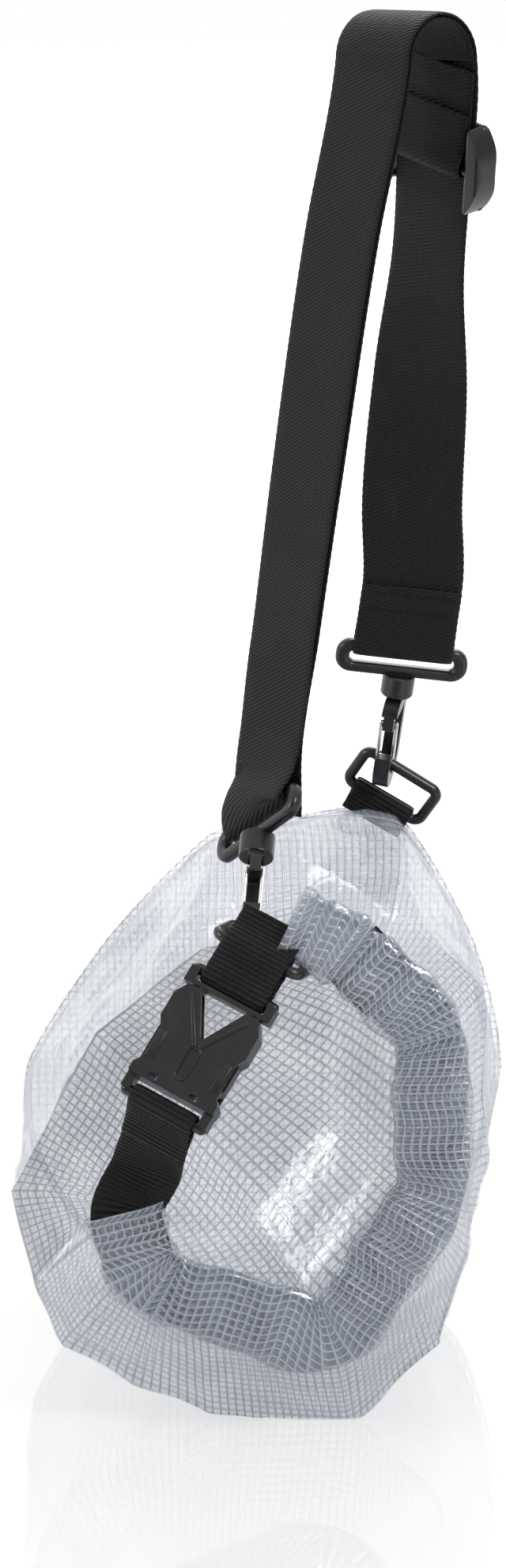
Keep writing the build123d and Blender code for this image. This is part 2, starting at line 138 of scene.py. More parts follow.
class Nodes:
    """A node tree with short calls that add a node, set it and wire it."""

    def __init__(self, tree: bpy.types.NodeTree) -> None:
        """Starts from an empty tree."""
        self.tree = tree
        tree.nodes.clear()

    def add(self, kind: str, sockets: dict[int | str, Any] | None = None, **settings: Any) -> bpy.types.Node:
        """Adds one node.

        Args:
            kind: The node's type, without its ShaderNode prefix.
            sockets: Its inputs by name or number, each a value or another node's output.
            **settings: The node's own properties.

        Returns:
            The node.
        """
        name = kind if kind.startswith("Node") else "ShaderNode" + kind
        node = self.tree.nodes.new(name)
        for key, value in settings.items():
            setattr(node, key, value)
        for key, value in (sockets or {}).items():
            if isinstance(value, bpy.types.NodeSocket):
                self.tree.links.new(value, node.inputs[key])
            else:
                node.inputs[key].default_value = value
        return node

    def math(self, operation: str, a: Any, b: Any = 0.0, c: Any = 0.0) -> bpy.types.NodeSocket:
        """The result of one Math node."""
        return self.add("Math", {0: a, 1: b, 2: c}, operation=operation).outputs[0]

    def ramp(self, value: Any, low: float, high: float, to_low: float = 0.0, to_high: float = 1.0) -> Any:
        """Maps a range onto another, smoothly and held at both ends."""
        sockets = {0: value, 1: low, 2: high, 3: to_low, 4: to_high}
        return self.add("MapRange", sockets, interpolation_type="SMOOTHSTEP").outputs[0]

    def blend(self, mask: Any, a: Any, b: Any) -> bpy.types.NodeSocket:
        """A colour that goes from a to b with a mask."""
        node = self.add("Mix", data_type="RGBA")
        for key, value in ((0, mask), (6, a), (7, b)):
            if isinstance(value, bpy.types.NodeSocket):
                self.tree.links.new(value, node.inputs[key])
            else:
                node.inputs[key].default_value = value
        return node.outputs[2]


class GroupSocket(Enum):
    """The kinds of socket the shared node groups have."""

    VALUE = "NodeSocketFloat"
    VECTOR = "NodeSocketVector"


def new_group(
    name: str, inputs: dict[str, tuple[GroupSocket, Any]], outputs: dict[str, GroupSocket]
) -> Nodes:
    """An empty shared node group with its sockets.

    Args:
        name: The group's name.
        inputs: Its inputs, each with a kind and a starting value.
        outputs: Its outputs.

    Returns:
        The group's tree, with one input and one output node.
    """
    tree = bpy.data.node_groups.new(name, "ShaderNodeTree")
    nodes = Nodes(tree)
    for title, (kind, start) in inputs.items():
        socket = tree.interface.new_socket(title, in_out="INPUT", socket_type=kind.value)
        if start is not None:
            socket.default_value = start
    for title, kind in outputs.items():
        tree.interface.new_socket(title, in_out="OUTPUT", socket_type=kind.value)
    nodes.source = nodes.add("NodeGroupInput").outputs
    return nodes


def close_group(nodes: Nodes, results: dict[str, Any]) -> bpy.types.NodeTree:
    """Wires a group's results to its outputs.

    Args:
        nodes: The group's tree.
        results: A socket for each output's name.

    Returns:
        The finished group.
    """
    nodes.add("NodeGroupOutput", results)
    return nodes.tree


def grid_threads_group() -> bpy.types.NodeTree:
    """Reinforcing threads in the film, crossing in a square grid.

    Returns:
        The group: a thread mask from a flat map in metres.
    """
    nodes = new_group(
        "grid_threads",
        {
            "Map": (GroupSocket.VECTOR, None),
            "Pitch": (GroupSocket.VALUE, 0.003),
            "Thread": (GroupSocket.VALUE, 0.0004),
            "Wander": (GroupSocket.VALUE, 0.0003),
        },
        {"Threads": GroupSocket.VALUE},
    )
    source = nodes.source
    drift = nodes.add("TexNoise", {"Vector": source["Map"], "Scale": 60.0, "Detail": 1.0})
    centred = nodes.add("VectorMath", {0: drift.outputs["Color"], 1: (0.5, 0.5, 0.5)}, operation="SUBTRACT")
    moved = nodes.add("VectorMath", {0: centred.outputs[0]}, operation="SCALE")
    nodes.tree.links.new(source["Wander"], moved.inputs["Scale"])
    place = nodes.add("VectorMath", {0: source["Map"], 1: moved.outputs[0]}, operation="ADD")
    axes = nodes.add("SeparateXYZ", {0: place.outputs[0]})
    share = nodes.math("DIVIDE", source["Thread"], source["Pitch"])
    masks = []
    for axis in (0, 1):
        turns = nodes.math("DIVIDE", axes.outputs[axis], source["Pitch"])
        near = nodes.math("ABSOLUTE", nodes.math("SUBTRACT", nodes.math("FRACT", turns), 0.5))
        edge = nodes.math("SUBTRACT", 0.5, share)
        height = nodes.math("DIVIDE", nodes.math("SUBTRACT", near, edge), share)
        masks.append(nodes.ramp(height, 0.0, 0.55))
    return close_group(nodes, {"Threads": nodes.math("MAXIMUM", masks[0], masks[1])})


def woven_ribs_group() -> bpy.types.NodeTree:
    """Woven webbing: ribs across the tape, straight or leaning as twill, with single yarns.

    Returns:
        The group: a height and a mask of the raised yarns.
    """
    nodes = new_group(
        "woven_ribs",
        {
            "Map": (GroupSocket.VECTOR, None),
            "Pitch": (GroupSocket.VALUE, 0.0016),
            "Lean": (GroupSocket.VALUE, 0.0),
            "Yarn": (GroupSocket.VALUE, 0.0007),
        },
        {"Height": GroupSocket.VALUE, "Crest": GroupSocket.VALUE},
    )
    source = nodes.source
    axes = nodes.add("SeparateXYZ", {0: source["Map"]})
    leaned = nodes.math("MULTIPLY_ADD", axes.outputs[0], source["Lean"], axes.outputs[1])
    rib_turns = nodes.math("DIVIDE", leaned, source["Pitch"])
    rib = nodes.math("SINE", nodes.math("MULTIPLY", rib_turns, TURN))
    step = nodes.math("MULTIPLY", nodes.math("FLOOR", nodes.math("ADD", rib_turns, 0.25)), 0.5)
    yarn_turns = nodes.math("ADD", nodes.math("DIVIDE", axes.outputs[0], source["Yarn"]), step)
    yarn = nodes.math("SINE", nodes.math("MULTIPLY", yarn_turns, TURN))
    rib_high = nodes.math("MULTIPLY_ADD", rib, 0.5, 0.5)
    yarn_high = nodes.math("MULTIPLY_ADD", yarn, 0.5, 0.5)
    height = nodes.math("MULTIPLY", rib_high, nodes.math("MULTIPLY_ADD", yarn_high, 0.45, 0.55))
    return close_group(nodes, {"Height": height, "Crest": nodes.ramp(height, 0.45, 0.95)})


def fine_grain_group() -> bpy.types.NodeTree:
    """Fine speckle and slow cloudiness, for every finish of the object.

    Returns:
        The group: a fine grain, and a slow cloud, each about 0 to 1.
    """
    nodes = new_group(
        "fine_grain",
        {
            "Place": (GroupSocket.VECTOR, None),
            "Grain": (GroupSocket.VALUE, 2600.0),
            "Cloud": (GroupSocket.VALUE, 45.0),
        },
        {"Grain": GroupSocket.VALUE, "Cloud": GroupSocket.VALUE},
    )
    source = nodes.source
    results = {}
    for title, detail in (("Grain", 2.0), ("Cloud", 3.0)):
        texture = nodes.add("TexNoise", {"Vector": source["Place"], "Scale": source[title], "Detail": detail})
        results[title] = texture.outputs["Fac"]
    return close_group(nodes, results)


class Shared:
    """The node groups that more than one material uses, made once."""

    groups: dict[str, bpy.types.NodeTree] = {}

    @classmethod
    def build(cls) -> None:
        """Makes every shared group."""
        cls.groups = {
            "threads": grid_threads_group(),
            "ribs": woven_ribs_group(),
            "grain": fine_grain_group(),
        }

    @classmethod
    def use(cls, nodes: Nodes, title: str, sockets: dict[str, Any]) -> Any:
        """Places a shared group in a material.

        Args:
            nodes: The material's tree.
            title: Which group.
            sockets: Its inputs.

        Returns:
            The placed group's outputs.
        """
        return nodes.add("Group", sockets, node_tree=cls.groups[title]).outputs


# ---- Finishes -------------------------------------------------------------------------------


def new_material(name: str) -> tuple[bpy.types.Material, Nodes]:
    """A material with an empty tree.

    Args:
        name: The material's name.

    Returns:
        The material and its tree.
    """
    material = bpy.data.materials.new(name)
    material.use_nodes = True
    return material, Nodes(material.node_tree)


@dataclass(frozen=True)
class FilmFinish:
    """Clear plastic film with a grid of threads in it."""

    name: str
    clear: Colour = (0.62, 0.67, 0.77)
    thread: Colour = (0.20, 0.22, 0.26)
    clear_alpha: float = 0.16
    thread_alpha: float = 0.34
    cloud_alpha: float = 0.14
    pitch: float = 0.003
    thread_width: float = 0.00045
    roughness: float = 0.16
    ior: float = 2.1
    wrinkle: float = 0.35

    def build(self) -> bpy.types.Material:
        """Makes the material.

        Returns:
            The film's material.
        """
        material, nodes = new_material(self.name)
        flat = nodes.add("UVMap", uv_map="flat").outputs[0]
        place = nodes.add("TexCoord").outputs["Object"]
        threads = Shared.use(
            nodes, "threads", {"Map": flat, "Pitch": self.pitch, "Thread": self.thread_width}
        )["Threads"]
        grain = Shared.use(nodes, "grain", {"Place": place, "Grain": 900.0, "Cloud": 28.0})
        cloud = nodes.ramp(grain["Cloud"], 0.35, 0.7)
        colour = nodes.blend(threads, (*self.clear, 1.0), (*self.thread, 1.0))
        base_alpha = nodes.math("MULTIPLY_ADD", cloud, self.cloud_alpha, self.clear_alpha)
        alpha = nodes.math(
            "MULTIPLY_ADD", threads, self.thread_alpha - self.clear_alpha, base_alpha
        )
        rough = nodes.math("MULTIPLY_ADD", grain["Grain"], 0.14, self.roughness - 0.05)
        folds = nodes.add("TexNoise", {"Vector": place, "Scale": 95.0, "Detail": 3.0, "Distortion": 0.8})
        height = nodes.math("MULTIPLY_ADD", threads, 0.12, folds.outputs["Fac"])
        bump = nodes.add("Bump", {"Height": height, "Strength": self.wrinkle, "Distance": 0.002})
        shader = nodes.add(
            "BsdfPrincipled",
            {
                "Base Color": colour,
                "Roughness": rough,
                "Alpha": alpha,
                "IOR": self.ior,
                "Normal": bump.outputs[0],
            },
        )
        nodes.add("OutputMaterial", {"Surface": shader.outputs[0]})
        return material


@dataclass(frozen=True)
class WebbingFinish:
    """Black woven webbing, ribbed or twilled, with painted shade in the grooves of the weave."""

    name: str
    yarn: Colour = (0.0085, 0.0085, 0.009)
    # groove is painted shade: the darker colour given to the grooves between the raised yarns.
    groove: Colour = (0.0012, 0.0012, 0.0012)
    pitch: float = 0.0016
    lean: float = 0.0
    yarn_pitch: float = 0.0008
    roughness: float = 0.62
    sheen: float = 0.06
    gloss: float = 0.22
    depth: float = 0.9

    def build(self) -> bpy.types.Material:
        """Makes the material.

        Returns:
            The webbing's material.
        """
        material, nodes = new_material(self.name)
        flat = nodes.add("UVMap", uv_map="flat").outputs[0]
        place = nodes.add("TexCoord").outputs["Object"]
        weave = Shared.use(
            nodes, "ribs", {"Map": flat, "Pitch": self.pitch, "Lean": self.lean, "Yarn": self.yarn_pitch}
        )
        grain = Shared.use(nodes, "grain", {"Place": place, "Grain": 3500.0, "Cloud": 70.0})
        worn = nodes.ramp(grain["Cloud"], 0.42, 0.75)
        lit = tuple(min(1.0, value * 1.9 + 0.004) for value in self.yarn)
        yarn = nodes.blend(worn, (*self.yarn, 1.0), (*lit, 1.0))
        # Painted shade: the weave's grooves take the darker groove colour, and the raised yarns take the yarn
        # colour.
        colour = nodes.blend(weave["Crest"], (*self.groove, 1.0), yarn)
        rough = nodes.math("MULTIPLY_ADD", grain["Grain"], 0.2, self.roughness - 0.1)
        height = nodes.math("MULTIPLY_ADD", grain["Grain"], 0.25, weave["Height"])
        bump = nodes.add("Bump", {"Height": height, "Strength": self.depth, "Distance": 0.0004})
        shader = nodes.add(
            "BsdfPrincipled",
            {
                "Base Color": colour,
                "Roughness": rough,
                "Specular IOR Level": self.gloss,
                "Sheen Weight": self.sheen,
                "Sheen Roughness": 0.4,
                "Normal": bump.outputs[0],
            },
        )
        nodes.add("OutputMaterial", {"Surface": shader.outputs[0]})
        return material


@dataclass(frozen=True)
class MouldingFinish:
    """Black moulded plastic with a fine grain and soft edges."""

    name: str
    base: Colour = (0.0045, 0.0045, 0.005)
    scuffed: Colour = (0.012, 0.012, 0.013)
    roughness: float = 0.3
    edge: float = 0.0004

    def build(self) -> bpy.types.Material:
        """Makes the material.

        Returns:
            The plastic's material.
        """
        material, nodes = new_material(self.name)
        place = nodes.add("TexCoord").outputs["Object"]
        grain = Shared.use(nodes, "grain", {"Place": place, "Grain": 2400.0, "Cloud": 120.0})
        worn = nodes.ramp(grain["Cloud"], 0.5, 0.85)
        colour = nodes.blend(worn, (*self.base, 1.0), (*self.scuffed, 1.0))
        rough = nodes.math("MULTIPLY_ADD", grain["Cloud"], 0.16, self.roughness - 0.06)
        soft = nodes.add("Bevel", {"Radius": self.edge}, samples=4)
        bump = nodes.add(
            "Bump",
            {"Height": grain["Grain"], "Strength": 0.12, "Distance": 0.0002, "Normal": soft.outputs[0]},
        )
        shader = nodes.add(
            "BsdfPrincipled", {"Base Color": colour, "Roughness": rough, "Normal": bump.outputs[0]}
        )
        nodes.add("OutputMaterial", {"Surface": shader.outputs[0]})
        return material


@dataclass(frozen=True)
class WireFinish:
    """Bright drawn steel wire."""

    name: str
    base: Colour = (0.72, 0.71, 0.69)
    dull: Colour = (0.42, 0.41, 0.40)
    roughness: float = 0.2

    def build(self) -> bpy.types.Material:
        """Makes the material.

        Returns:
            The wire's material.
        """
        material, nodes = new_material(self.name)
        place = nodes.add("TexCoord").outputs["Object"]
        grain = Shared.use(nodes, "grain", {"Place": place, "Grain": 1800.0, "Cloud": 260.0})
        worn = nodes.ramp(grain["Cloud"], 0.45, 0.8)
        colour = nodes.blend(worn, (*self.base, 1.0), (*self.dull, 1.0))
        rough = nodes.math("MULTIPLY_ADD", grain["Grain"], 0.18, self.roughness - 0.06)
        bump = nodes.add("Bump", {"Height": grain["Grain"], "Strength": 0.1, "Distance": 0.0001})
        shader = nodes.add(
            "BsdfPrincipled",
            {"Base Color": colour, "Metallic": 1.0, "Roughness": rough, "Normal": bump.outputs[0]},
        )
        nodes.add("OutputMaterial", {"Surface": shader.outputs[0]})
        return material


@dataclass(frozen=True)
class StageFinish:
    """The pale polished floor."""

    name: str
    base: Colour = (0.30, 0.30, 0.30)
    roughness: float = 0.04
    near_glow: float = 0.50
    far_glow: float = 0.85

    def build(self) -> bpy.types.Material:
        """Makes the material.

        Returns:
            The floor's material.
        """
        material, nodes = new_material(self.name)
        place = nodes.add("TexCoord").outputs["Object"]
        away = nodes.add("VectorMath", {0: place}, operation="LENGTH").outputs["Value"]
        glow = nodes.ramp(away, 0.25, 2.2, self.near_glow, self.far_glow)
        shader = nodes.add(
            "BsdfPrincipled",
            {
                "Base Color": (*self.base, 1.0),
                "Roughness": self.roughness,
                "IOR": 1.75,
                "Emission Color": (1.0, 1.0, 1.0, 1.0),
                "Emission Strength": glow,
            },
        )
        nodes.add("OutputMaterial", {"Surface": shader.outputs[0]})
        return material


# ---- Meshes ---------------------------------------------------------------------------------


def grid_piece(name: str, places: np.ndarray, flat: np.ndarray, closed: bool, capped: bool = False) -> Any:
    """A mesh from rows of points, with a flat map in metres.

    Args:
        name: The piece's name.
        places: Rows by columns by XYZ. The first column isn't repeated when closed.
        flat: The flat map, with one more column than places when closed.
        closed: The columns run round and join.
        capped: The first and last rows are closed with a face.

    Returns:
        The new object, at the origin.
    """
    rows, columns = places.shape[:2]
    mesh = bpy.data.meshes.new(name)
    spans = columns if closed else columns - 1
    index = np.arange(rows * columns).reshape(rows, columns)
    faces, maps = [], []
    for row in range(rows - 1):
        for column in range(spans):
            beside = (column + 1) % columns
            this, following = index[row], index[row + 1]
            faces.append((this[column], this[beside], following[beside], following[column]))
            low, high = flat[row], flat[row + 1]
            maps += [low[column], low[column + 1], high[column + 1], high[column]]
    if capped:
        faces.append(tuple(index[0][::-1]))
        maps += list(flat[0, :columns][::-1])
        faces.append(tuple(index[-1]))
        maps += list(flat[-1, :columns])
    mesh.from_pydata(places.reshape(-1, 3).tolist(), [], [tuple(int(i) for i in face) for face in faces])
    layer = mesh.uv_layers.new(name="flat")
    layer.data.foreach_set("uv", np.array(maps, np.float32).ravel())
    mesh.shade_smooth()
    piece = bpy.data.objects.new(name, mesh)
    bpy.context.scene.collection.objects.link(piece)
    return piece


def face_outwards(piece: bpy.types.Object) -> None:
    """Makes the piece's faces agree and point outwards."""
    shape = bmesh.new()
    shape.from_mesh(piece.data)
    bmesh.ops.recalc_face_normals(shape, faces=shape.faces)
    shape.to_mesh(piece.data)
    shape.free()


def apply_modifiers(piece: bpy.types.Object) -> None:
    """Applies all of the piece's modifiers."""
    bpy.ops.object.select_all(action="DESELECT")
    bpy.context.view_layer.objects.active = piece
    piece.select_set(True)
    for modifier in list(piece.modifiers):
        bpy.ops.object.modifier_apply(modifier=modifier.name)
    piece.select_set(False)


def give_wall(piece: bpy.types.Object, thickness: float) -> None:
    """Gives a surface its film thickness, inwards from its faces.

    Args:
        piece: The surface.
        thickness: The film's thickness.
    """
    wall = piece.modifiers.new("wall", "SOLIDIFY")
    wall.thickness = thickness
    wall.offset = -1.0
    wall.use_even_offset = False
    apply_modifiers(piece)


def normals_of(places: np.ndarray, closed: bool) -> np.ndarray:
    """Directions square to a grid of points.

    Args:
        places: Rows by columns by XYZ.
        closed: The columns run round and join.

    Returns:
        One unit vector for each point.
    """
    down = np.gradient(places, axis=0)
    if closed:
        across = (np.roll(places, -1, axis=1) - np.roll(places, 1, axis=1)) / 2
    else:
        across = np.gradient(places, axis=1)
    out = np.cross(across, down)
    return out / np.maximum(np.linalg.norm(out, axis=-1, keepdims=True), 1e-12)


def crumple(places: np.ndarray, scale: float, offset: float) -> np.ndarray:
    """A field of soft dents with sharp creases between them, about -1 to 1.

    Args:
        places: Points, in metres.
        scale: Dents to the metre.
        offset: Moves the pattern, so that two pieces differ.

    Returns:
        The field's value at each point.
    """
    flat = places.reshape(-1, 3) * scale + offset
    values = [2.0 * abs(noise.noise(Vector(point))) - 0.35 for point in flat]
    return np.array(values).reshape(places.shape[:-1])


def spline_route(points: np.ndarray, per_span: int) -> np.ndarray:
    """A smooth route through points of any size, as a dense row.

    Args:
        points: The points, one to a row.
        per_span: Steps between two points.

    Returns:
        The dense row of points.
    """
    gaps = np.maximum(np.linalg.norm(np.diff(points[:, :3], axis=0), axis=1), 1e-9)
    place = np.concatenate([[0.0], np.cumsum(gaps)])
    slopes = np.diff(points, axis=0) / gaps[:, None]
    tangents = np.vstack([slopes[:1], slopes, slopes[-1:]])
    before, after = tangents[:-1], tangents[1:]
    left = np.concatenate([gaps[:1], gaps])[:, None]
    right = np.concatenate([gaps, gaps[-1:]])[:, None]
    tangent = (before * right + after * left) / (left + right)
    rows = []
    for span in range(len(points) - 1):
        t = np.linspace(0.0, 1.0, per_span, endpoint=False)[:, None]
        h = place[span + 1] - place[span]
        rows.append(
            (2 * t**3 - 3 * t**2 + 1) * points[span]
            + (t**3 - 2 * t**2 + t) * h * tangent[span]
            + (3 * t**2 - 2 * t**3) * points[span + 1]
            + (t**3 - t**2) * h * tangent[span + 1]
        )
    return np.vstack(rows + [points[-1:]])


def evenly(row: np.ndarray, step: float) -> tuple[np.ndarray, np.ndarray]:
    """Points spaced evenly along a dense row.

    Args:
        row: The dense row; its first three numbers are the place.
        step: The spacing wanted.

    Returns:
        The even row and the distance along it.
    """
    lengths = np.concatenate([[0.0], np.cumsum(np.linalg.norm(np.diff(row[:, :3], axis=0), axis=1))])
    count = max(4, int(round(lengths[-1] / step)) + 1)
    along = np.linspace(0.0, lengths[-1], count)
    even = np.stack([np.interp(along, lengths, row[:, k]) for k in range(row.shape[1])], axis=1)
    return even, along


@dataclass
class Tape:
    """A run of woven webbing along stations, with its ribs and selvedges as real shape."""

    name: str
    stations: Sequence[Station]
    width: float
    thickness: float
    rib_pitch: float = 0.0016
    rib_height: float = 0.00009
    step: float = 0.0004
    columns: int = 15

    def build(self) -> bpy.types.Object:
        """Makes the run.

        Returns:
            The closed mesh, mapped flat in metres.
        """
        stacked = np.array([[*point, *across] for point, across in self.stations])
        row, along = evenly(spline_route(stacked, 24), self.step)
        centre, across = row[:, :3], row[:, 3:]
        heading = np.gradient(centre, axis=0)
        heading /= np.linalg.norm(heading, axis=1, keepdims=True)
        across = across - heading * np.sum(across * heading, axis=1, keepdims=True)
        across /= np.linalg.norm(across, axis=1, keepdims=True)
        out = np.cross(heading, across)
        side = np.sin(np.linspace(-math.pi / 2, math.pi / 2, self.columns))
        half = self.width / 2
        edge = 1.0 + 0.004 * np.sin(along / self.rib_pitch * TURN / 2)
        body = self.thickness / 2 * np.sqrt(np.clip(1.0 - np.abs(side) ** 14, 0.0, 1.0))
        flank = 1.0 - np.abs(side) ** 6
        layers, maps = [], []
        for sign, order in ((1.0, slice(None)), (-1.0, slice(-2, 0, -1))):
            s = side[order]
            rib = self.rib_height * np.sin(along[:, None] / self.rib_pitch * TURN) * flank[order][None, :]
            high = body[order][None, :] + rib - self.rib_height * flank[order][None, :]
            wide = s[None, :] * half * edge[:, None]
            lifted = out[:, None] * (sign * high)[..., None]
            layers.append(centre[:, None] + across[:, None] * wide[..., None] + lifted)
            u = s * half if sign > 0 else 2 * half - s * half
            maps.append(np.stack(np.broadcast_arrays(u[None, :], along[:, None]), axis=-1))
        places = np.concatenate(layers, axis=1)
        flat = np.concatenate(maps + [maps[0][:, :1] + (4 * half, 0.0)], axis=1)
        piece = grid_piece(self.name, places, flat, closed=True, capped=True)
        face_outwards(piece)
        return piece


def half_turn(radius: float) -> list[tuple[float, float]]:
    """Places (Y, Z) of webbing on its half turn under a bar, from its -Y side to its +Y side."""
    angles = [math.radians(degrees) for degrees in range(180, 361, 20)]
    return [(radius * math.cos(angle), radius * math.sin(angle)) for angle in angles]


def around_bar(frame_: Frame, radius: float, leg_half: float, closed: float, run: float) -> list[Station]:
    """Stations of webbing that comes down one side of a bar, turns round it and goes back up.

    Args:
        frame_: The bar's frame: X along the bar, Z the way the webbing runs.
        radius: Bar centre to the middle of the webbing.
        leg_half: Half the gap between the middles of the two layers.
        closed: How far up the two layers meet.
        run: How far up both layers go.

    Returns:
        The stations, from the end on -Y round to the end on +Y.
    """
    spots = [(-leg_half, run), (-leg_half, (run + closed) / 2), (-leg_half, closed)]
    spots.append((-(radius + leg_half) / 2, closed / 2))
    spots += half_turn(radius)
    spots.append(((radius + leg_half) / 2, closed / 2))
    spots += [(leg_half, closed), (leg_half, (run + closed) / 2), (leg_half, run)]
    return [(frame_.at(0.0, y, z), frame_.x) for y, z in spots]


# ---- Where the fittings lie -------------------------------------------------------------------


@dataclass(frozen=True)
class Layout:
    """The frames of the fittings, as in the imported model."""

    plug_bar: float = 49.0 * MM
    ring_up: float = 63.0 * MM
    ring_depth: float = 17.0 * MM
    hook_reach: float = 40.1 * MM
    loop_pitch: float = 9.3 * MM
    arch_middle: Vector = field(default_factory=lambda: mm(54.7, -5.0, 479.0))
    arch_radius: float = 16.0 * MM
    arch_across: Vector = field(default_factory=lambda: Vector((0.67, -0.74, 0.0)).normalized())
    slider_below: float = 36.0 * MM

    @property
    def buckle(self) -> Frame:
        """The buckle, from its lower tape bar upwards."""
        return placed(mm(-30.6, -142.0, 128.0), Vector((0.90, -0.30, -0.34)), Vector((0.505, 0.36, 0.785)))

    @property
    def front_ring(self) -> Frame:
        """The front D-ring, from its base bar outwards."""
        return hinged(self.buckle.at(0, 0, self.ring_up), self.buckle.x, Vector((0.35, 0.94, -0.02)))

    @property
    def rear_ring(self) -> Frame:
        """The rear D-ring, from its base bar outwards."""
        return hinged(mm(50.0, 105.0, 191.0), Vector((0.85, 0.0, -0.53)), Vector((0.45, -0.45, 0.77)))

    @property
    def front_hook(self) -> Frame:
        """The front strap loop, with its hook down -Z."""
        held = self.front_ring.at(-10.0 * MM, 0, self.ring_depth)
        axis = Vector((0.08, 0.66, 0.745)).normalized()
        return placed(held + axis * self.hook_reach, Vector((0.54, -0.67, 0.50)), axis)

    @property
    def rear_hook(self) -> Frame:
        """The rear strap loop, with its hook down -Z."""
        held = self.rear_ring.at(-8.0 * MM, 0, self.ring_depth)
        axis = Vector((0.12, -0.35, 0.93)).normalized()
        return placed(held + axis * self.hook_reach, Vector((1.0, 0.0, -0.02)), axis)

    @property
    def arch_side(self) -> Vector:
        """From the arch's middle towards its rear leg."""
        return Vector((0, 0, 1)).cross(self.arch_across)

    @property
    def rear_bar(self) -> Vector:
        """The middle of the rear loop's upper bar."""
        return self.rear_hook.at(0, 0, self.loop_pitch)

    @property
    def front_bar(self) -> Vector:
        """The middle of the front loop's upper bar."""
        return self.front_hook.at(0, 0, self.loop_pitch)

    @property
    def arch_rear(self) -> Vector:
        """Where the arch meets the rear leg."""
        return self.arch_middle + self.arch_side * self.arch_radius

    @property
    def rear_leg(self) -> Frame:
        """The rear leg at the slider, up the leg."""
        axis = (self.arch_rear - self.rear_bar).normalized()
        return placed(self.arch_rear - axis * self.slider_below, self.arch_across, axis)


# ---- Bag film ---------------------------------------------------------------------------------


@dataclass
class RolledRoute:
    """The line of the rolled mouth, bent in an open ring that faces forward."""

    corners: tuple = ((-45, 86), (-38, 60), (28, 38), (63, 92), (62, 150), (33, 179), (12.5, 188.5))
    depth: float = -118.0 * MM
    fillet: float = 11.0 * MM

    def corner(self, number: int) -> Vector:
        """One corner of the route, at the roll's depth."""
        x, z = self.corners[number]
        return Vector((x * MM, self.depth, z * MM))

    def dense(self) -> tuple[np.ndarray, np.ndarray]:
        """The route with rounded corners.

        Returns:
            Points (X, Z) in metres and, for each, its place in corner numbers.
        """
        corners = np.array(self.corners, float) * MM
        points, marks = [corners[0]], [0.0]
        for k in range(1, len(corners) - 1):
            before = corners[k - 1] - corners[k]
            after = corners[k + 1] - corners[k]
            cut = min(self.fillet, 0.45 * np.linalg.norm(before), 0.45 * np.linalg.norm(after))
            a = corners[k] + before / np.linalg.norm(before) * cut
            b = corners[k] + after / np.linalg.norm(after) * cut
            for t in np.linspace(0.0, 1.0, 9):
                points.append((1 - t) ** 2 * a + 2 * t * (1 - t) * corners[k] + t**2 * b)
                low = k - cut / np.linalg.norm(before)
                high = k + cut / np.linalg.norm(after)
                marks.append(low + (high - low) * t)
        points.append(corners[-1])
        marks.append(float(len(corners) - 1))
        return np.array(points), np.array(marks)

    def at(self, mark: np.ndarray) -> tuple[np.ndarray, np.ndarray]:
        """Places on the route and the outward direction there.

        Args:
            mark: Places in corner numbers, from 0 to the last corner.

        Returns:
            Points (X, Z) and unit directions (X, Z) away from the ring's middle.
        """
        points, marks = self.dense()
        fine = np.linspace(0.0, marks[-1], 400)
        x = np.interp(fine, marks, points[:, 0])
        z = np.interp(fine, marks, points[:, 1])
        kernel = np.hanning(15) / np.hanning(15).sum()
        gx = np.convolve(np.pad(np.gradient(x), 7, "edge"), kernel, "valid")
        gz = np.convolve(np.pad(np.gradient(z), 7, "edge"), kernel, "valid")
        size = np.hypot(gx, gz)
        out_x, out_z = gz / size, -gx / size
        place = np.stack([np.interp(mark, fine, x), np.interp(mark, fine, z)], axis=-1)
        out = np.stack([np.interp(mark, fine, out_x), np.interp(mark, fine, out_z)], axis=-1)
        return place, out / np.linalg.norm(out, axis=-1, keepdims=True)


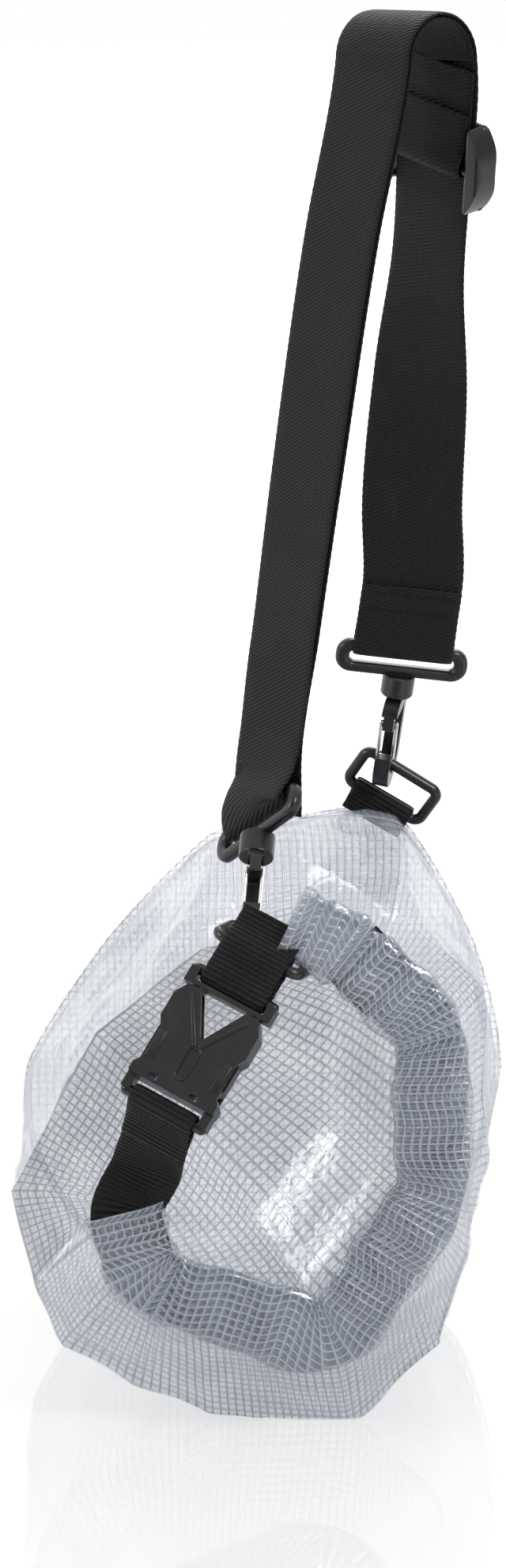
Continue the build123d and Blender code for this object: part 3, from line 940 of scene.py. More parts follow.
@dataclass
class BagFilm:
    """The film bag: a round bottom, a crumpled wall, and a front gathered to the rolled mouth."""

    route: RolledRoute
    thickness: float = 0.0005
    front_y: float = -84.0 * MM
    waist_y: float = 0.0
    rear_y: float = 110.0 * MM
    mouth_y: float = -113.5 * MM
    spread: float = 9.0 * MM
    per_span: int = 20
    low_fold: float = 7.0
    high_fold: float = 15.0
    floor_gap: float = 0.6 * MM
    body_rows: int = 86
    front_rows: int = 46
    rear_outline: tuple = (
        (95, 84), (84, 134), (54, 184), (12, 181), (-17, 174), (-55, 134),
        (-86, 86), (-84, 50), (-60, 14), (-20, -1), (35, -1), (78, 26),
    )
    waist_outline: tuple = (
        (88, 88), (83, 148), (55, 190), (17, 194), (-17, 184), (-58, 140),
        (-87, 86), (-82, 50), (-64, 18), (-18, -1), (34, -1), (73, 25),
    )
    front_outline: tuple = (
        (83, 92), (81, 157), (50, 184), (17, 177), (-18, 172), (-56, 142),
        (-86, 84), (-77, 50), (-68, 27), (-16, 1), (34, -2), (67, 27),
    )
    # Where each corner of the front goes in the roll: outline number, roll place.
    outer_marks: tuple = (
        (7, 0.0), (8, 0.8), (9, 1.35), (10, 2.0), (11, 2.6), (12, 3.05), (13, 4.0), (14, 4.8), (15, 5.9),
    )
    inner_marks: tuple = (
        (3, 5.9), (3.5, 5.0), (4, 4.2), (4.5, 3.1), (5, 2.3), (5.5, 1.3), (6, 0.45), (7, 0.0),
    )

    def numbers(self) -> np.ndarray:
        """Outline numbers of the columns, from the lower fold edge round and back to it."""
        return self.low_fold + np.arange(CORNERS * self.per_span) / self.per_span

    def around(self) -> np.ndarray:
        """Outline numbers that run on past the last corner, so that each wall is one range of them."""
        u = self.numbers()
        return np.where(u < self.low_fold, u + CORNERS, u)

    def outline(self, corners: tuple, sharp: float) -> np.ndarray:
        """One outline at every column.

        Args:
            corners: Its corners, X and Z in millimetres.
            sharp: 1 for straight sides and sharp corners, 0 for a smooth line.

        Returns:
            Points (X, Z) in metres.
        """
        corners_m = np.array(corners, float) * MM
        u = self.numbers() % CORNERS
        k = u.astype(int)
        f = (u - k)[:, None]
        p = [corners_m[(k + d) % CORNERS] for d in (-1, 0, 1, 2)]
        straight = p[1] * (1 - f) + p[2] * f
        smooth = 0.5 * (
            2 * p[1] + (p[2] - p[0]) * f + (2 * p[0] - 5 * p[1] + 4 * p[2] - p[3]) * f**2
            + (3 * p[1] - p[0] - 3 * p[2] + p[3]) * f**3
        )
        return straight * sharp + smooth * (1 - sharp)

    def body(self, y: np.ndarray) -> np.ndarray:
        """The wall's points at places along the bag.

        Args:
            y: Places along the bag, from the bottom forward.

        Returns:
            Rows by columns by XYZ.
        """
        rear = self.outline(self.rear_outline, 0.35)
        waist = self.outline(self.waist_outline, 0.75)
        front = self.outline(self.front_outline, 0.9)
        a, b, c = self.rear_y, self.waist_y, self.front_y
        row = y[:, None, None]
        flat = (
            rear * ((row - b) * (row - c) / ((a - b) * (a - c)))
            + waist * ((row - a) * (row - c) / ((b - a) * (b - c)))
            + front * ((row - a) * (row - b) / ((c - a) * (c - b)))
        )
        return np.stack([flat[..., 0], np.broadcast_to(y[:, None], flat.shape[:2]), flat[..., 1]], axis=-1)

    def front(self, share: np.ndarray) -> np.ndarray:
        """The front's points, from the bag's edge in to the roll.

        Args:
            share: 0 at the edge, 1 behind the roll.

        Returns:
            Rows by columns by XYZ.
        """
        edge = self.outline(self.front_outline, 0.9)
        around = self.around()
        outer = np.array(self.outer_marks)
        inner = np.array(self.inner_marks)
        is_outer = around <= self.high_fold
        mark = np.where(
            is_outer,
            np.interp(around, outer[:, 0], outer[:, 1]),
            np.interp(around - CORNERS, inner[:, 0], inner[:, 1]),
        )
        place, out = self.route.at(mark)
        near_low = np.minimum(np.abs(around - self.low_fold), np.abs(around - self.low_fold - CORNERS))
        near_high = np.abs(around - self.high_fold)
        tip = smoothstep(0.0, 0.5, np.minimum(near_low, near_high))
        offset = np.where(is_outer, 1.0, -1.0) * tip * self.spread
        mouth = place + out * offset[:, None]
        w = share[:, None]
        swell = np.sin(w * math.pi) * (is_outer * 0.10)[None, :]
        x = edge[:, 0] + (mouth[:, 0] - edge[:, 0]) * (w - swell * 0.3)
        z = edge[:, 1] + (mouth[:, 1] - edge[:, 1]) * (w - swell * 0.3)
        forward = np.where(is_outer[None, :], w**1.25, smoothstep(0.66, 1.0, w))
        sink = np.where(is_outer[None, :], 0.0, np.sin(np.clip(w / 0.72, 0, 1) * math.pi)) * 7.0 * MM
        y = self.front_y + (self.mouth_y - self.front_y) * forward + sink
        return np.stack([x, y, z], axis=-1)

    def places(self) -> np.ndarray:
        """All of the wall's points, from the bottom forward and in to the roll, with their creases."""
        body = self.body(np.linspace(self.rear_y, self.front_y, self.body_rows))
        front = self.front(np.linspace(0.0, 1.0, self.front_rows + 1)[1:])
        places = np.concatenate([body, front])
        out = normals_of(places, closed=True)
        row = np.arange(len(places)) / (len(places) - 1)
        ends = smoothstep(0.0, 0.06, row) * smoothstep(0.0, 0.08, 1.0 - row)
        stretched = places * (1.0, 0.45, 1.0)
        dents = crumple(stretched, 17.0, 3.1) * 4.2 * MM + crumple(places, 46.0, 9.7) * 1.1 * MM
        is_inner = (self.around() > 15.3) & (self.around() < 18.7)
        calm = smoothstep(0.60, 0.70, row)[:, None] * np.where(is_inner, 0.75, 0.35)[None, :]
        depth = dents * ends[:, None] * (1.0 - calm)
        places = places - out * depth[..., None]
        places[..., 2] = np.maximum(places[..., 2], self.floor_gap)
        return places

    def build_wall(self) -> bpy.types.Object:
        """Makes the bag's wall.

        Returns:
            The film wall, open at the bottom weld and at the roll.
        """
        places = self.places()
        flat = self.flat_map(places)
        piece = grid_piece("film_wall", places, flat, closed=True)
        give_wall(piece, self.thickness)
        return piece

    def flat_map(self, places: np.ndarray) -> np.ndarray:
        """The film's flat map: round the bag, and along it.

        Args:
            places: The wall's points.

        Returns:
            Rows by columns plus one, in metres.
        """
        closed = np.concatenate([places, places[:, :1]], axis=1)
        middle = closed[self.body_rows // 2]
        round_ = np.concatenate([[0.0], np.cumsum(np.linalg.norm(np.diff(middle, axis=0), axis=1))])
        steps = np.linalg.norm(np.diff(closed, axis=0), axis=2)
        typical = np.median(steps, axis=1, keepdims=True)
        steps[: self.body_rows] = typical[: self.body_rows]
        along = np.concatenate([np.zeros((1, closed.shape[1])), np.cumsum(steps, axis=0)])
        return np.stack([np.broadcast_to(round_[None, :], along.shape), along], axis=-1)

    def build_bottom(self) -> bpy.types.Object:
        """Makes the round bottom with the welded flange round it.

        Returns:
            The bottom.
        """
        edge = self.outline(self.rear_outline, 0.35)
        middle = edge.mean(axis=0)
        away = edge - middle
        away /= np.linalg.norm(away, axis=1, keepdims=True)
        rings = []
        for grow, y in ((2.2, 0.2), (2.6, 0.9), (1.4, 1.5), (0.0, 1.2), (-1.5, 0.3)):
            ring = edge + away * grow * MM
            rings.append(np.column_stack([ring[:, 0], np.full(len(ring), self.rear_y + y * MM), ring[:, 1]]))
        for share in np.linspace(0.93, 0.02, 24):
            ring = middle + (edge - middle) * share
            puff = 3.4 * MM * (1.0 - share**2)
            rings.append(np.column_stack([ring[:, 0], np.full(len(ring), self.rear_y + puff), ring[:, 1]]))
        places = np.array(rings)
        places[5:, :, 1] += crumple(places[5:], 24.0, 5.5) * 1.6 * MM
        places[..., 2] = np.maximum(places[..., 2], self.floor_gap)
        places = np.concatenate([places, np.broadcast_to(places[-1].mean(axis=0), places[-1:].shape)])
        closed = np.concatenate([places, places[:, :1]], axis=1)
        piece = grid_piece("film_bottom", places, closed[..., [0, 2]], closed=True)
        shape = bmesh.new()
        shape.from_mesh(piece.data)
        bmesh.ops.remove_doubles(shape, verts=shape.verts, dist=1e-6)
        bmesh.ops.recalc_face_normals(shape, faces=shape.faces)
        if sum(face.normal.y * face.calc_area() for face in shape.faces) < 0:
            bmesh.ops.reverse_faces(shape, faces=shape.faces)
        shape.to_mesh(piece.data)
        shape.free()
        give_wall(piece, self.thickness)
        return piece

    def build_patch(self) -> bpy.types.Object:
        """Makes the welded patch under the rear tab.

        Returns:
            The patch, laid on the wall.
        """
        y = np.linspace(self.rear_y - 2.0 * MM, self.rear_y - 40.0 * MM, 30)
        u = self.numbers() % CORNERS
        body = self.body(y)
        columns = np.where((u > 1.55) & (u < 2.85))[0]
        strip = body[:, columns]
        out = normals_of(strip, closed=False)
        if out[..., 2].mean() < 0:
            out = -out
        strip = strip + out * 0.9 * MM
        across = np.concatenate([[0.0], np.cumsum(np.linalg.norm(np.diff(strip[0], axis=0), axis=1))])
        flat = np.stack(np.broadcast_arrays(across[None, :], (-y)[:, None]), axis=-1)
        piece = grid_piece("film_patch", strip, flat, closed=False)
        give_wall(piece, 0.7 * MM)
        return piece


@dataclass
class RolledMouth:
    """The mouth, rolled flat and bent in a ring: film sleeves round a dark stiffening strip."""

    route: RolledRoute
    half_width: float = 14.0 * MM
    half_thick: float = 3.4 * MM
    stiffener_width: float = 23.0 * MM
    stiffener_back: float = 2.2 * MM
    rows: int = 230
    columns: int = 44

    def sleeve(self, name: str, width: float, thick: float, seed: float, trim: float) -> bpy.types.Object:
        """Makes one film sleeve of the roll.

        Args:
            name: The piece's name.
            width: Half its width.
            thick: Half its thickness.
            seed: Moves its creases.
            trim: How much shorter it is at each end, in corner numbers.

        Returns:
            The sleeve.
        """
        last = len(self.route.corners) - 1.0
        mark = np.linspace(trim, last - trim, self.rows)
        place, out = self.route.at(mark)
        bend = np.zeros_like(mark)
        for corner in range(1, int(last)):
            bend = np.maximum(bend, np.exp(-(((mark - corner) / 0.09) ** 2)))
        first_flare = 0.35 * np.exp(-((mark - trim) / 0.12) ** 2)
        last_flare = 0.3 * np.exp(-((last - trim - mark) / 0.1) ** 2)
        flare = 1.0 + first_flare + last_flare
        turn = np.linspace(0.0, TURN, self.columns, endpoint=False)
        flat_x = np.sign(np.cos(turn)) * np.abs(np.cos(turn)) ** 0.55
        flat_y = np.sign(np.sin(turn)) * np.abs(np.sin(turn)) ** 0.8
        wave = 1.0 + 0.05 * np.sin(mark * 7.3 + seed) + 0.04 * np.sin(mark * 17.0 + seed * 2)
        wide = width * wave[:, None] * flat_x[None, :] * (1.0 - 0.10 * bend[:, None])
        deep = thick * flat_y[None, :] * (1.0 - 0.35 * bend[:, None]) * flare[:, None]
        x = place[:, 0:1] + out[:, 0:1] * wide
        z = place[:, 1:2] + out[:, 1:2] * wide
        y = self.route.depth + deep
        places = np.stack([x, y, z], axis=-1)
        dents = crumple(places, 58.0, seed) * 0.9 * MM
        normals = normals_of(places, closed=True)
        places = places - normals * dents[..., None]
        closed = np.concatenate([places, places[:, :1]], axis=1)
        steps = np.linalg.norm(np.diff(closed, axis=1), axis=2)
        round_ = np.concatenate([np.zeros((self.rows, 1)), np.cumsum(steps, axis=1)], axis=1)
        centre = np.column_stack([place[:, 0], place[:, 1]])
        along = np.concatenate([[0.0], np.cumsum(np.linalg.norm(np.diff(centre, axis=0), axis=1))])
        flat = np.stack([round_, np.broadcast_to(along[:, None], round_.shape)], axis=-1)
        piece = grid_piece(name, places, flat, closed=True)
        give_wall(piece, 0.4 * MM)
        return piece

    def build_stiffener(self) -> bpy.types.Object:
        """Makes the dark strip inside the roll.

        Returns:
            The strip.
        """
        mark = np.linspace(0.12, 5.1, 60)
        place, out = self.route.at(mark)
        stations = [
            (Vector((p[0], self.route.depth + self.stiffener_back, p[1])), Vector((o[0], 0.0, o[1])))
            for p, o in zip(place, out)
        ]
        strip = Tape("mouth_strip", stations, self.stiffener_width, 0.9 * MM, rib_height=0.0, step=0.0015)
        return strip.build()


# ---- Webbing ----------------------------------------------------------------------------------


@dataclass
class ClosureTapes:
    """The closure tape: its lower half on the socket, its upper half on the plug and the ring."""

    layout: Layout
    route: RolledRoute
    width: float = 25.0 * MM
    thickness: float = 1.5 * MM
    bar_radius: float = 3.15 * MM
    ring_wire: float = 4.2 * MM
    bar_clear: float = 0.4 * MM
    rib_pitch: float = 1.75 * MM
    rib_height: float = 0.16 * MM

    def tape(self, name: str, stations: Sequence[Station], **more: Any) -> bpy.types.Object:
        """One run of the closure tape.

        Args:
            name: The piece's name.
            stations: Its stations.
            **more: Other sizes of the run.

        Returns:
            The run.
        """
        return Tape(
            name, stations, self.width, self.thickness, rib_pitch=self.rib_pitch,
            rib_height=self.rib_height, step=0.00028, **more
        ).build()

    def build_lower(self) -> bpy.types.Object:
        """Makes the lower tape: out of the roll, round the socket's bar and back.

        Returns:
            The tape.
        """
        buckle = self.layout.buckle
        end = self.route.corner(0)
        into = (self.route.corner(1) - end).normalized()
        across = into.cross(Vector((0, 1, 0)))
        bar_frame = hinged(buckle.origin, buckle.x, end - buckle.origin)
        turn = around_bar(bar_frame, self.bar_radius, self.thickness / 2, 11.0 * MM, 17.0 * MM)
        inside = [
            (end + into * 22.0 * MM + Vector((0, 0.8 * MM, 0)), across),
            (end + into * 12.0 * MM + Vector((0, 0.8 * MM, 0)), across),
            (end + into * 3.0 * MM + Vector((0, 0.4 * MM, 0)), across),
        ]
        hump = bar_frame.at(-1.5 * MM, -5.0 * MM, 33.0 * MM)
        outside = [(hump, bar_frame.x * 0.55 + across * 0.45)]
        return self.tape("lower_tape", inside + outside + turn)

    def build_upper(self) -> list[bpy.types.Object]:
        """Makes the upper tape: round the plug's bar and up past the ring, folded over into the roll.

        Returns:
            The loop on the plug, and the end that lies in the roll.
        """
        buckle = self.layout.buckle
        bar = Frame(buckle.at(0, 0, self.layout.plug_bar), buckle.x, buckle.z)
        gap = self.layout.ring_up - self.layout.plug_bar
        radius = self.ring_wire / 2 + self.bar_clear + self.thickness / 2
        closed, top = gap + 8.0 * MM, gap + 14.0 * MM
        half = self.thickness / 2
        leg = [(half, top), (half, closed), (radius, gap + 0.5 * MM), (radius, gap / 2)]
        legs = [(-y, z) for y, z in leg] + half_turn(radius) + leg[::-1]
        loop = self.tape("upper_tape", [(bar.at(0.0, y, z), bar.x) for y, z in legs])
        start = self.route.corner(-2)
        into = (self.route.corner(-3) - start).normalized()
        across = into.cross(Vector((0, 1, 0))) * -1.0
        reach = [(1.0, 0.6), (8.0, 0.4), (14.0, 0.4), (21.0, 0.4)]
        stations = [(start + into * s * MM + Vector((0, y * MM, 0)), across) for s, y in reach]
        return [loop, self.tape("upper_tape_end", stations)]


@dataclass
class ShoulderStrap:
    """The shoulder strap: two layers over the arch, sewn at the rear loop and at the slider."""

    layout: Layout
    width: float = 38.0 * MM
    thickness: float = 1.5 * MM
    half_gap: float = 0.925 * MM
    bar_radius: float = 3.4 * MM
    rib_pitch: float = 1.45 * MM
    sewn: float = 26.0 * MM
    slider_bar: float = 1.6 * MM
    slider_clear: float = 0.3 * MM

    def run(self, name: str, stations: Sequence[Station], **more: Any) -> bpy.types.Object:
        """One run of the strap.

        Args:
            name: The piece's name.
            stations: Its stations.
            **more: Other sizes of the run.

        Returns:
            The run.
        """
        return Tape(
            name, stations, self.width, self.thickness, rib_pitch=self.rib_pitch,
            rib_height=0.05 * MM, step=0.0004, columns=13, **more
        ).build()

    def arch(self, shift: float) -> list[Station]:
        """The strap's stations over the arch, from the rear leg forward."""
        spots = []
        for degrees in range(0, 181, 15):
            angle = math.radians(degrees)
            out = self.layout.arch_side * math.cos(angle) + Vector((0, 0, 1)) * math.sin(angle)
            spot = self.layout.arch_middle + out * (self.layout.arch_radius + shift)
            spots.append((spot, self.layout.arch_across))
        return spots

    def front_leg(self, shift: float) -> list[Station]:
        """The strap's stations down the front leg, turning towards the front loop."""
        route = [(mm(31.5, -24.0, 417.8), Vector((0.66, -0.75, 0.05)))]
        route.append((mm(19.1, -42.0, 334.7), Vector((0.63, -0.74, 0.16))))
        route.append((mm(11.2, -58.0, 278.0), Vector((0.60, -0.73, 0.30))))
        bar = self.layout.front_bar
        axis = (route[-1][0] - bar).normalized()
        across = self.layout.front_hook.x
        route.append((bar + axis * 16.0 * MM, (across + route[-1][1]) * 0.5))
        spots = []
        for k, (point, side) in enumerate(route):
            before = route[k - 1][0] if k else self.arch(0.0)[-1][0]
            after = route[k + 1][0] if k + 1 < len(route) else bar
            out = (after - before).normalized().cross(side.normalized())
            spots.append((point + out * shift, side.normalized()))
        return spots

    def rear_leg(self) -> list[Station]:
        """The long run's stations up the rear leg."""
        layout = self.layout
        axis = layout.rear_leg.z
        across = layout.rear_hook.x
        base = [
            (layout.rear_bar + axis * 60.0 * MM, across * 0.8 + layout.arch_across * 0.2),
            (layout.rear_bar + axis * 110.0 * MM, across * 0.45 + layout.arch_across * 0.55),
            (layout.rear_leg.origin - axis * 48.0 * MM, layout.arch_across),
            (layout.rear_leg.origin, layout.arch_across),
        ]
        return [(p + axis.cross(a.normalized()) * self.half_gap, a.normalized()) for p, a in base]

    def build_long(self) -> bpy.types.Object:
        """Makes the long run: round the rear bar, up, over the arch, down and round the front bar.

        Returns:
            The long run.
        """
        layout = self.layout
        rear = hinged(layout.rear_bar, layout.rear_hook.x, layout.rear_leg.z)
        start = around_bar(rear, self.bar_radius, self.thickness / 2, 14.0 * MM, self.sewn)
        bar = layout.front_bar
        leg_top = self.front_leg(0.0)[-2][0]
        front = hinged(bar, layout.front_hook.x, leg_top - bar)
        turn = []
        for degrees in range(0, 181, 20):
            angle = math.radians(-degrees)
            y, z = -self.bar_radius * math.cos(angle), self.bar_radius * math.sin(angle)
            turn.append((front.at(0, y, z), front.x))
        stations = start + self.rear_leg() + self.arch(self.half_gap) + self.front_leg(self.half_gap) + turn
        return self.run("strap_long_run", stations)

    def build_short(self) -> list[bpy.types.Object]:
        """Makes the short run: under the long run from the front bar over the arch to the slider.

        Returns:
            The part that stays with the bag, and the part that runs from the arch down to the slider.
        """
        layout = self.layout
        bar = layout.front_bar
        leg_top = self.front_leg(0.0)[-2][0]
        front = hinged(bar, layout.front_hook.x, leg_top - bar)
        end = (front.at(0, self.bar_radius, 0.4 * MM), front.x)
        fixed = self.arch(-self.half_gap) + self.front_leg(-self.half_gap) + [end]
        leg = layout.rear_leg
        out = leg.y * -self.half_gap
        top = self.arch(-self.half_gap)[0]
        low = leg.at(0, 0, 19.0 * MM) + out
        moving = [top, ((top[0] + low) * 0.5, leg.x), (low, leg.x)]
        return [self.run("strap_short_run", fixed), self.run("strap_slider_end", moving)]

    def build_slider_fold(self) -> bpy.types.Object:
        """Makes the sewn fold of the short run round the slider's middle bar.

        Returns:
            The fold.
        """
        leg = self.layout.rear_leg
        slider = Frame(leg.at(0, self.half_gap, 0), leg.x, leg.z)
        bar_radius = self.slider_bar + self.slider_clear + self.thickness / 2
        fold_out = bar_radius + self.slider_clear + self.thickness
        sideways = fold_out - 2 * self.half_gap - self.thickness / 2
        lean = (slider.z * 20.0 * MM + slider.y * sideways).normalized()
        bar = Frame(slider.at(0, -fold_out, 0), slider.x, lean)
        stations = around_bar(bar, bar_radius, self.thickness / 2, 9.0 * MM, 20.0 * MM)
        return self.run("slider_fold_tape", stations)


@dataclass
class RearTab:
    """The short webbing tab that holds the rear D-ring."""

    layout: Layout
    width: float = 25.0 * MM
    thickness: float = 1.5 * MM
    bar_radius: float = 3.25 * MM
    rib_pitch: float = 1.75 * MM
    rib_height: float = 0.16 * MM

    def build(self) -> bpy.types.Object:
        """Makes the tab.

        Returns:
            The tab.
        """
        ring = self.layout.rear_ring
        bar = placed(ring.origin, ring.x, Vector((-0.50, -0.20, -0.84)))
        stations = around_bar(bar, self.bar_radius, self.thickness / 2, 6.0 * MM, 9.5 * MM)
        return Tape(
            "rear_tab_tape", stations, self.width, self.thickness, rib_pitch=self.rib_pitch,
            rib_height=self.rib_height, step=0.0003
        ).build()


def matrix_of(frame_: Frame) -> Matrix:
    """The matrix that takes a frame's local points to their places."""
    turn = Matrix((frame_.x, frame_.y, frame_.z)).transposed().to_4x4()
    return Matrix.Translation(frame_.origin) @ turn


def settle(piece: bpy.types.Object, frame_: Frame) -> None:
    """Puts a piece modelled at the origin in its fitting's frame, with its place in its mesh.

    Args:
        piece: The piece.
        frame_: The fitting's frame.
    """
    piece.data.transform(matrix_of(frame_) @ piece.matrix_world)
    piece.matrix_world = Matrix.Identity(4)
    piece.data.update()


def joined(name: str, parts: Sequence[bpy.types.Object]) -> bpy.types.Object:
    """Several objects joined into one.

    Args:
        name: The joined piece's name.
        parts: The objects.

    Returns:
        The piece.
    """
    bpy.ops.object.select_all(action="DESELECT")
    for part in parts:
        part.select_set(True)
    bpy.context.view_layer.objects.active = parts[0]
    bpy.ops.object.join()
    piece = bpy.context.active_object
    piece.name = name
    return piece


@dataclass
class SocketRelief:
    """The socket's raised front: a rim round its groove, a line by each side of its mouth, two side pads."""

    layout: Layout
    face: float = 5.0 * MM
    height: float = 0.55 * MM
    groove_low: float = 12.0 * MM
    groove_high: float = 22.5 * MM
    rim_wide: float = 5.4 * MM
    rim_wall: float = 0.8 * MM
    mouth_low: float = 24.2 * MM
    mouth_high: float = 40.0 * MM
    mouth_reach: float = 10.3 * MM
    arm_wide: float = 1.5 * MM
    pad_off: float = 13.0 * MM
    pad_along: float = 18.0 * MM
    pad_size: tuple = (3.4 * MM, 11.0 * MM)

    def flat_block(self, middle: Vector, size: Vector, turn: float, soften: float) -> bpy.types.Object:
        """A flat raised block on the socket's face, with softened edges.

        Args:
            middle: Its middle, in the buckle's frame.
            size: Its sizes.
            turn: How far it leans, in radians.
            soften: Its edges' radius.

        Returns:
            The block.
        """
        bpy.ops.object.select_all(action="DESELECT")
        bpy.ops.mesh.primitive_cube_add(size=1.0, location=middle, rotation=(0.0, turn, 0.0))
        block = bpy.context.active_object
        block.scale = size
        bpy.ops.object.transform_apply(location=True, rotation=True, scale=True)
        edge = block.modifiers.new("soft_edge", "BEVEL")
        edge.width = soften
        edge.segments = 3
        apply_modifiers(block)
        return block

    def rim(self) -> bpy.types.Object:
        """The rounded rim round the groove, made from a flat face that is inset and raised."""
        bpy.ops.object.select_all(action="DESELECT")
        middle = Vector((0.0, -self.face + 0.1 * MM, (self.groove_low + self.groove_high) / 2))
        bpy.ops.mesh.primitive_plane_add(size=1.0, location=middle, rotation=(math.pi / 2, 0.0, 0.0))
        rim = bpy.context.active_object
        rim.scale = (self.rim_wide, self.groove_high - self.groove_low + 3.4 * MM, 1.0)
        bpy.ops.object.transform_apply(location=True, rotation=True, scale=True)
        bpy.ops.object.mode_set(mode="EDIT")
        bpy.ops.mesh.select_all(action="SELECT")
        bpy.ops.mesh.bevel(offset=self.rim_wide * 0.46, segments=8, affect="VERTICES")
        bpy.ops.mesh.select_all(action="SELECT")
        bpy.ops.mesh.inset(thickness=self.rim_wall)
        bpy.ops.mesh.delete(type="FACE")
        bpy.ops.mesh.select_all(action="SELECT")
        bpy.ops.mesh.extrude_region_move(TRANSFORM_OT_translate={"value": (0.0, -self.height, 0.0)})
        bpy.ops.mesh.select_all(action="SELECT")
        bpy.ops.mesh.normals_make_consistent(inside=False)
        bpy.ops.object.mode_set(mode="OBJECT")
        edge = rim.modifiers.new("soft_edge", "BEVEL")
        edge.width = 0.18 * MM
        edge.segments = 2
        edge.limit_method = "ANGLE"
        apply_modifiers(rim)
        return rim

    def build(self) -> bpy.types.Object:
        """Makes the raised lines.

        Returns:
            The relief, as one piece.
        """
        parts = [self.rim()]
        rise = self.mouth_high - self.mouth_low
        lean = math.atan2(self.mouth_reach, rise)
        for side in (-1.0, 1.0):
            middle = Vector((side * self.mouth_reach / 2, -self.face, (self.mouth_low + self.mouth_high) / 2))
            middle += Vector((side * math.cos(lean), 0.0, -math.sin(lean))) * 1.2 * MM
            size = Vector((self.arm_wide, 2 * self.height, math.hypot(rise, self.mouth_reach)))
            parts.append(self.flat_block(middle, size, side * lean, 0.35 * MM))
            pad = Vector((side * self.pad_off, -self.face + 0.1 * MM, self.pad_along))
            pad_size = Vector((self.pad_size[0], 2 * self.height, self.pad_size[1]))
            parts.append(self.flat_block(pad, pad_size, 0.0, 0.5 * MM))
        relief = joined("socket_relief", parts)
        relief.data.shade_smooth()
        settle(relief, self.layout.buckle)
        return relief


@dataclass
class Stitching:
    """Rows of sewn stitches across a band of webbing."""

    length: float = 1.9 * MM
    pitch: float = 2.5 * MM
    thread: float = 0.42 * MM

    def build(
        self, name: str, frame_: Frame, width: float, rows: Sequence[tuple[float, float]]
    ) -> bpy.types.Object:
        """Makes the stitches.

        Args:
            name: The piece's name.
            frame_: The webbing's frame: X across it, Z along it.
            width: How wide each row is.
            rows: For each row, its distance off the middle and its place along the webbing.

        Returns:
            All the stitches as one piece.
        """
        bpy.ops.object.select_all(action="DESELECT")
        bpy.ops.mesh.primitive_uv_sphere_add(segments=8, ring_count=6, radius=0.5)
        model = bpy.context.active_object
        model.scale = (self.length, self.thread, self.thread)
        bpy.ops.object.transform_apply(location=False, rotation=False, scale=True)
        count = int(width / self.pitch)
        parts = []
        for off, along in rows:
            for k in range(count):
                stitch = model.copy()
                stitch.data = model.data.copy()
                stitch.data.transform(Matrix.Translation(((k - (count - 1) / 2) * self.pitch, off, along)))
                bpy.context.scene.collection.objects.link(stitch)
                parts.append(stitch)
        bpy.data.objects.remove(model)
        piece = joined(name, parts)
        piece.data.shade_smooth()
        settle(piece, frame_)
        return piece


# ---- Stage ------------------------------------------------------------------------------------


@dataclass(frozen=True)
class Studio:
    """The floor, the soft lights and the camera."""

    target: Vector = field(default_factory=lambda: Vector((0.0, 0.0, 0.216)))
    distance: float = 1.9
    elevation: float = 10.0
    lens: float = 119.06
    sensor: float = 36.0

    def build_camera(self) -> bpy.types.Object:
        """Makes the camera and gives it to the scene."""
        data = bpy.data.cameras.new("studio_camera")
        data.sensor_fit = "VERTICAL"
        data.sensor_height = self.sensor
        data.lens = self.lens
        data.clip_start, data.clip_end = 0.05, 50.0
        camera = bpy.data.objects.new("studio_camera", data)
        bpy.context.scene.collection.objects.link(camera)
        tilt = math.radians(self.elevation)
        camera.location = self.target + Vector((0, -math.cos(tilt), math.sin(tilt))) * self.distance
        camera.rotation_euler = (math.radians(90.0 - self.elevation), 0.0, 0.0)
        bpy.context.scene.camera = camera
        return camera

    def add_light(self, name: str, place: Vector, aim: Vector, size: float, power: float) -> None:
        """Adds one soft square light.

        Args:
            name: Its name.
            place: Where it stands.
            aim: What it faces.
            size: Its side.
            power: Its power in watts.
        """
        data = bpy.data.lights.new(name, "AREA")
        data.size = size
        data.energy = power
        light = bpy.data.objects.new(name, data)
        light.location = place
        light.rotation_euler = (aim - place).to_track_quat("-Z", "Y").to_euler()
        bpy.context.scene.collection.objects.link(light)

    def build_lights(self) -> None:
        """Makes the lights and the pale surroundings."""
        world = bpy.data.worlds.new("studio")
        bpy.context.scene.world = world
        world.use_nodes = True
        nodes = Nodes(world.node_tree)
        direction = nodes.add("TexCoord").outputs["Generated"]
        axes = nodes.add("SeparateXYZ", {0: direction})
        behind = nodes.ramp(axes.outputs[1], -0.1, 0.55, 0.30, 1.0)
        above = nodes.ramp(axes.outputs[2], 0.25, 0.95, 0.0, 0.7)
        seen = nodes.add("LightPath").outputs["Is Camera Ray"]
        strength = nodes.math("MAXIMUM", nodes.math("ADD", behind, above), seen)
        back = nodes.add("Background", {"Color": (1.0, 1.0, 1.0, 1.0), "Strength": strength})
        nodes.add("OutputWorld", {"Surface": back.outputs[0]})
        aim = Vector((0.0, 0.0, 0.15))
        self.add_light("key_light", Vector((0.9, -1.1, 1.0)), aim, 0.45, 14.0)
        self.add_light("side_light", Vector((-1.3, -0.5, 0.7)), aim, 0.5, 8.0)
        self.add_light("back_light", Vector((0.3, 1.2, 1.5)), aim, 0.9, 14.0)

    def build_floor(self, finish: StageFinish) -> bpy.types.Object:
        """Makes the floor.

        Args:
            finish: Its finish.

        Returns:
            The floor.
        """
        bpy.ops.object.select_all(action="DESELECT")
        bpy.ops.mesh.primitive_plane_add(size=30.0, location=(0.0, 0.0, 0.0))
        floor = bpy.context.active_object
        floor.name = "studio_floor"
        floor.data.materials.append(finish.build())
        return floor


# ---- Assembly ---------------------------------------------------------------------------------


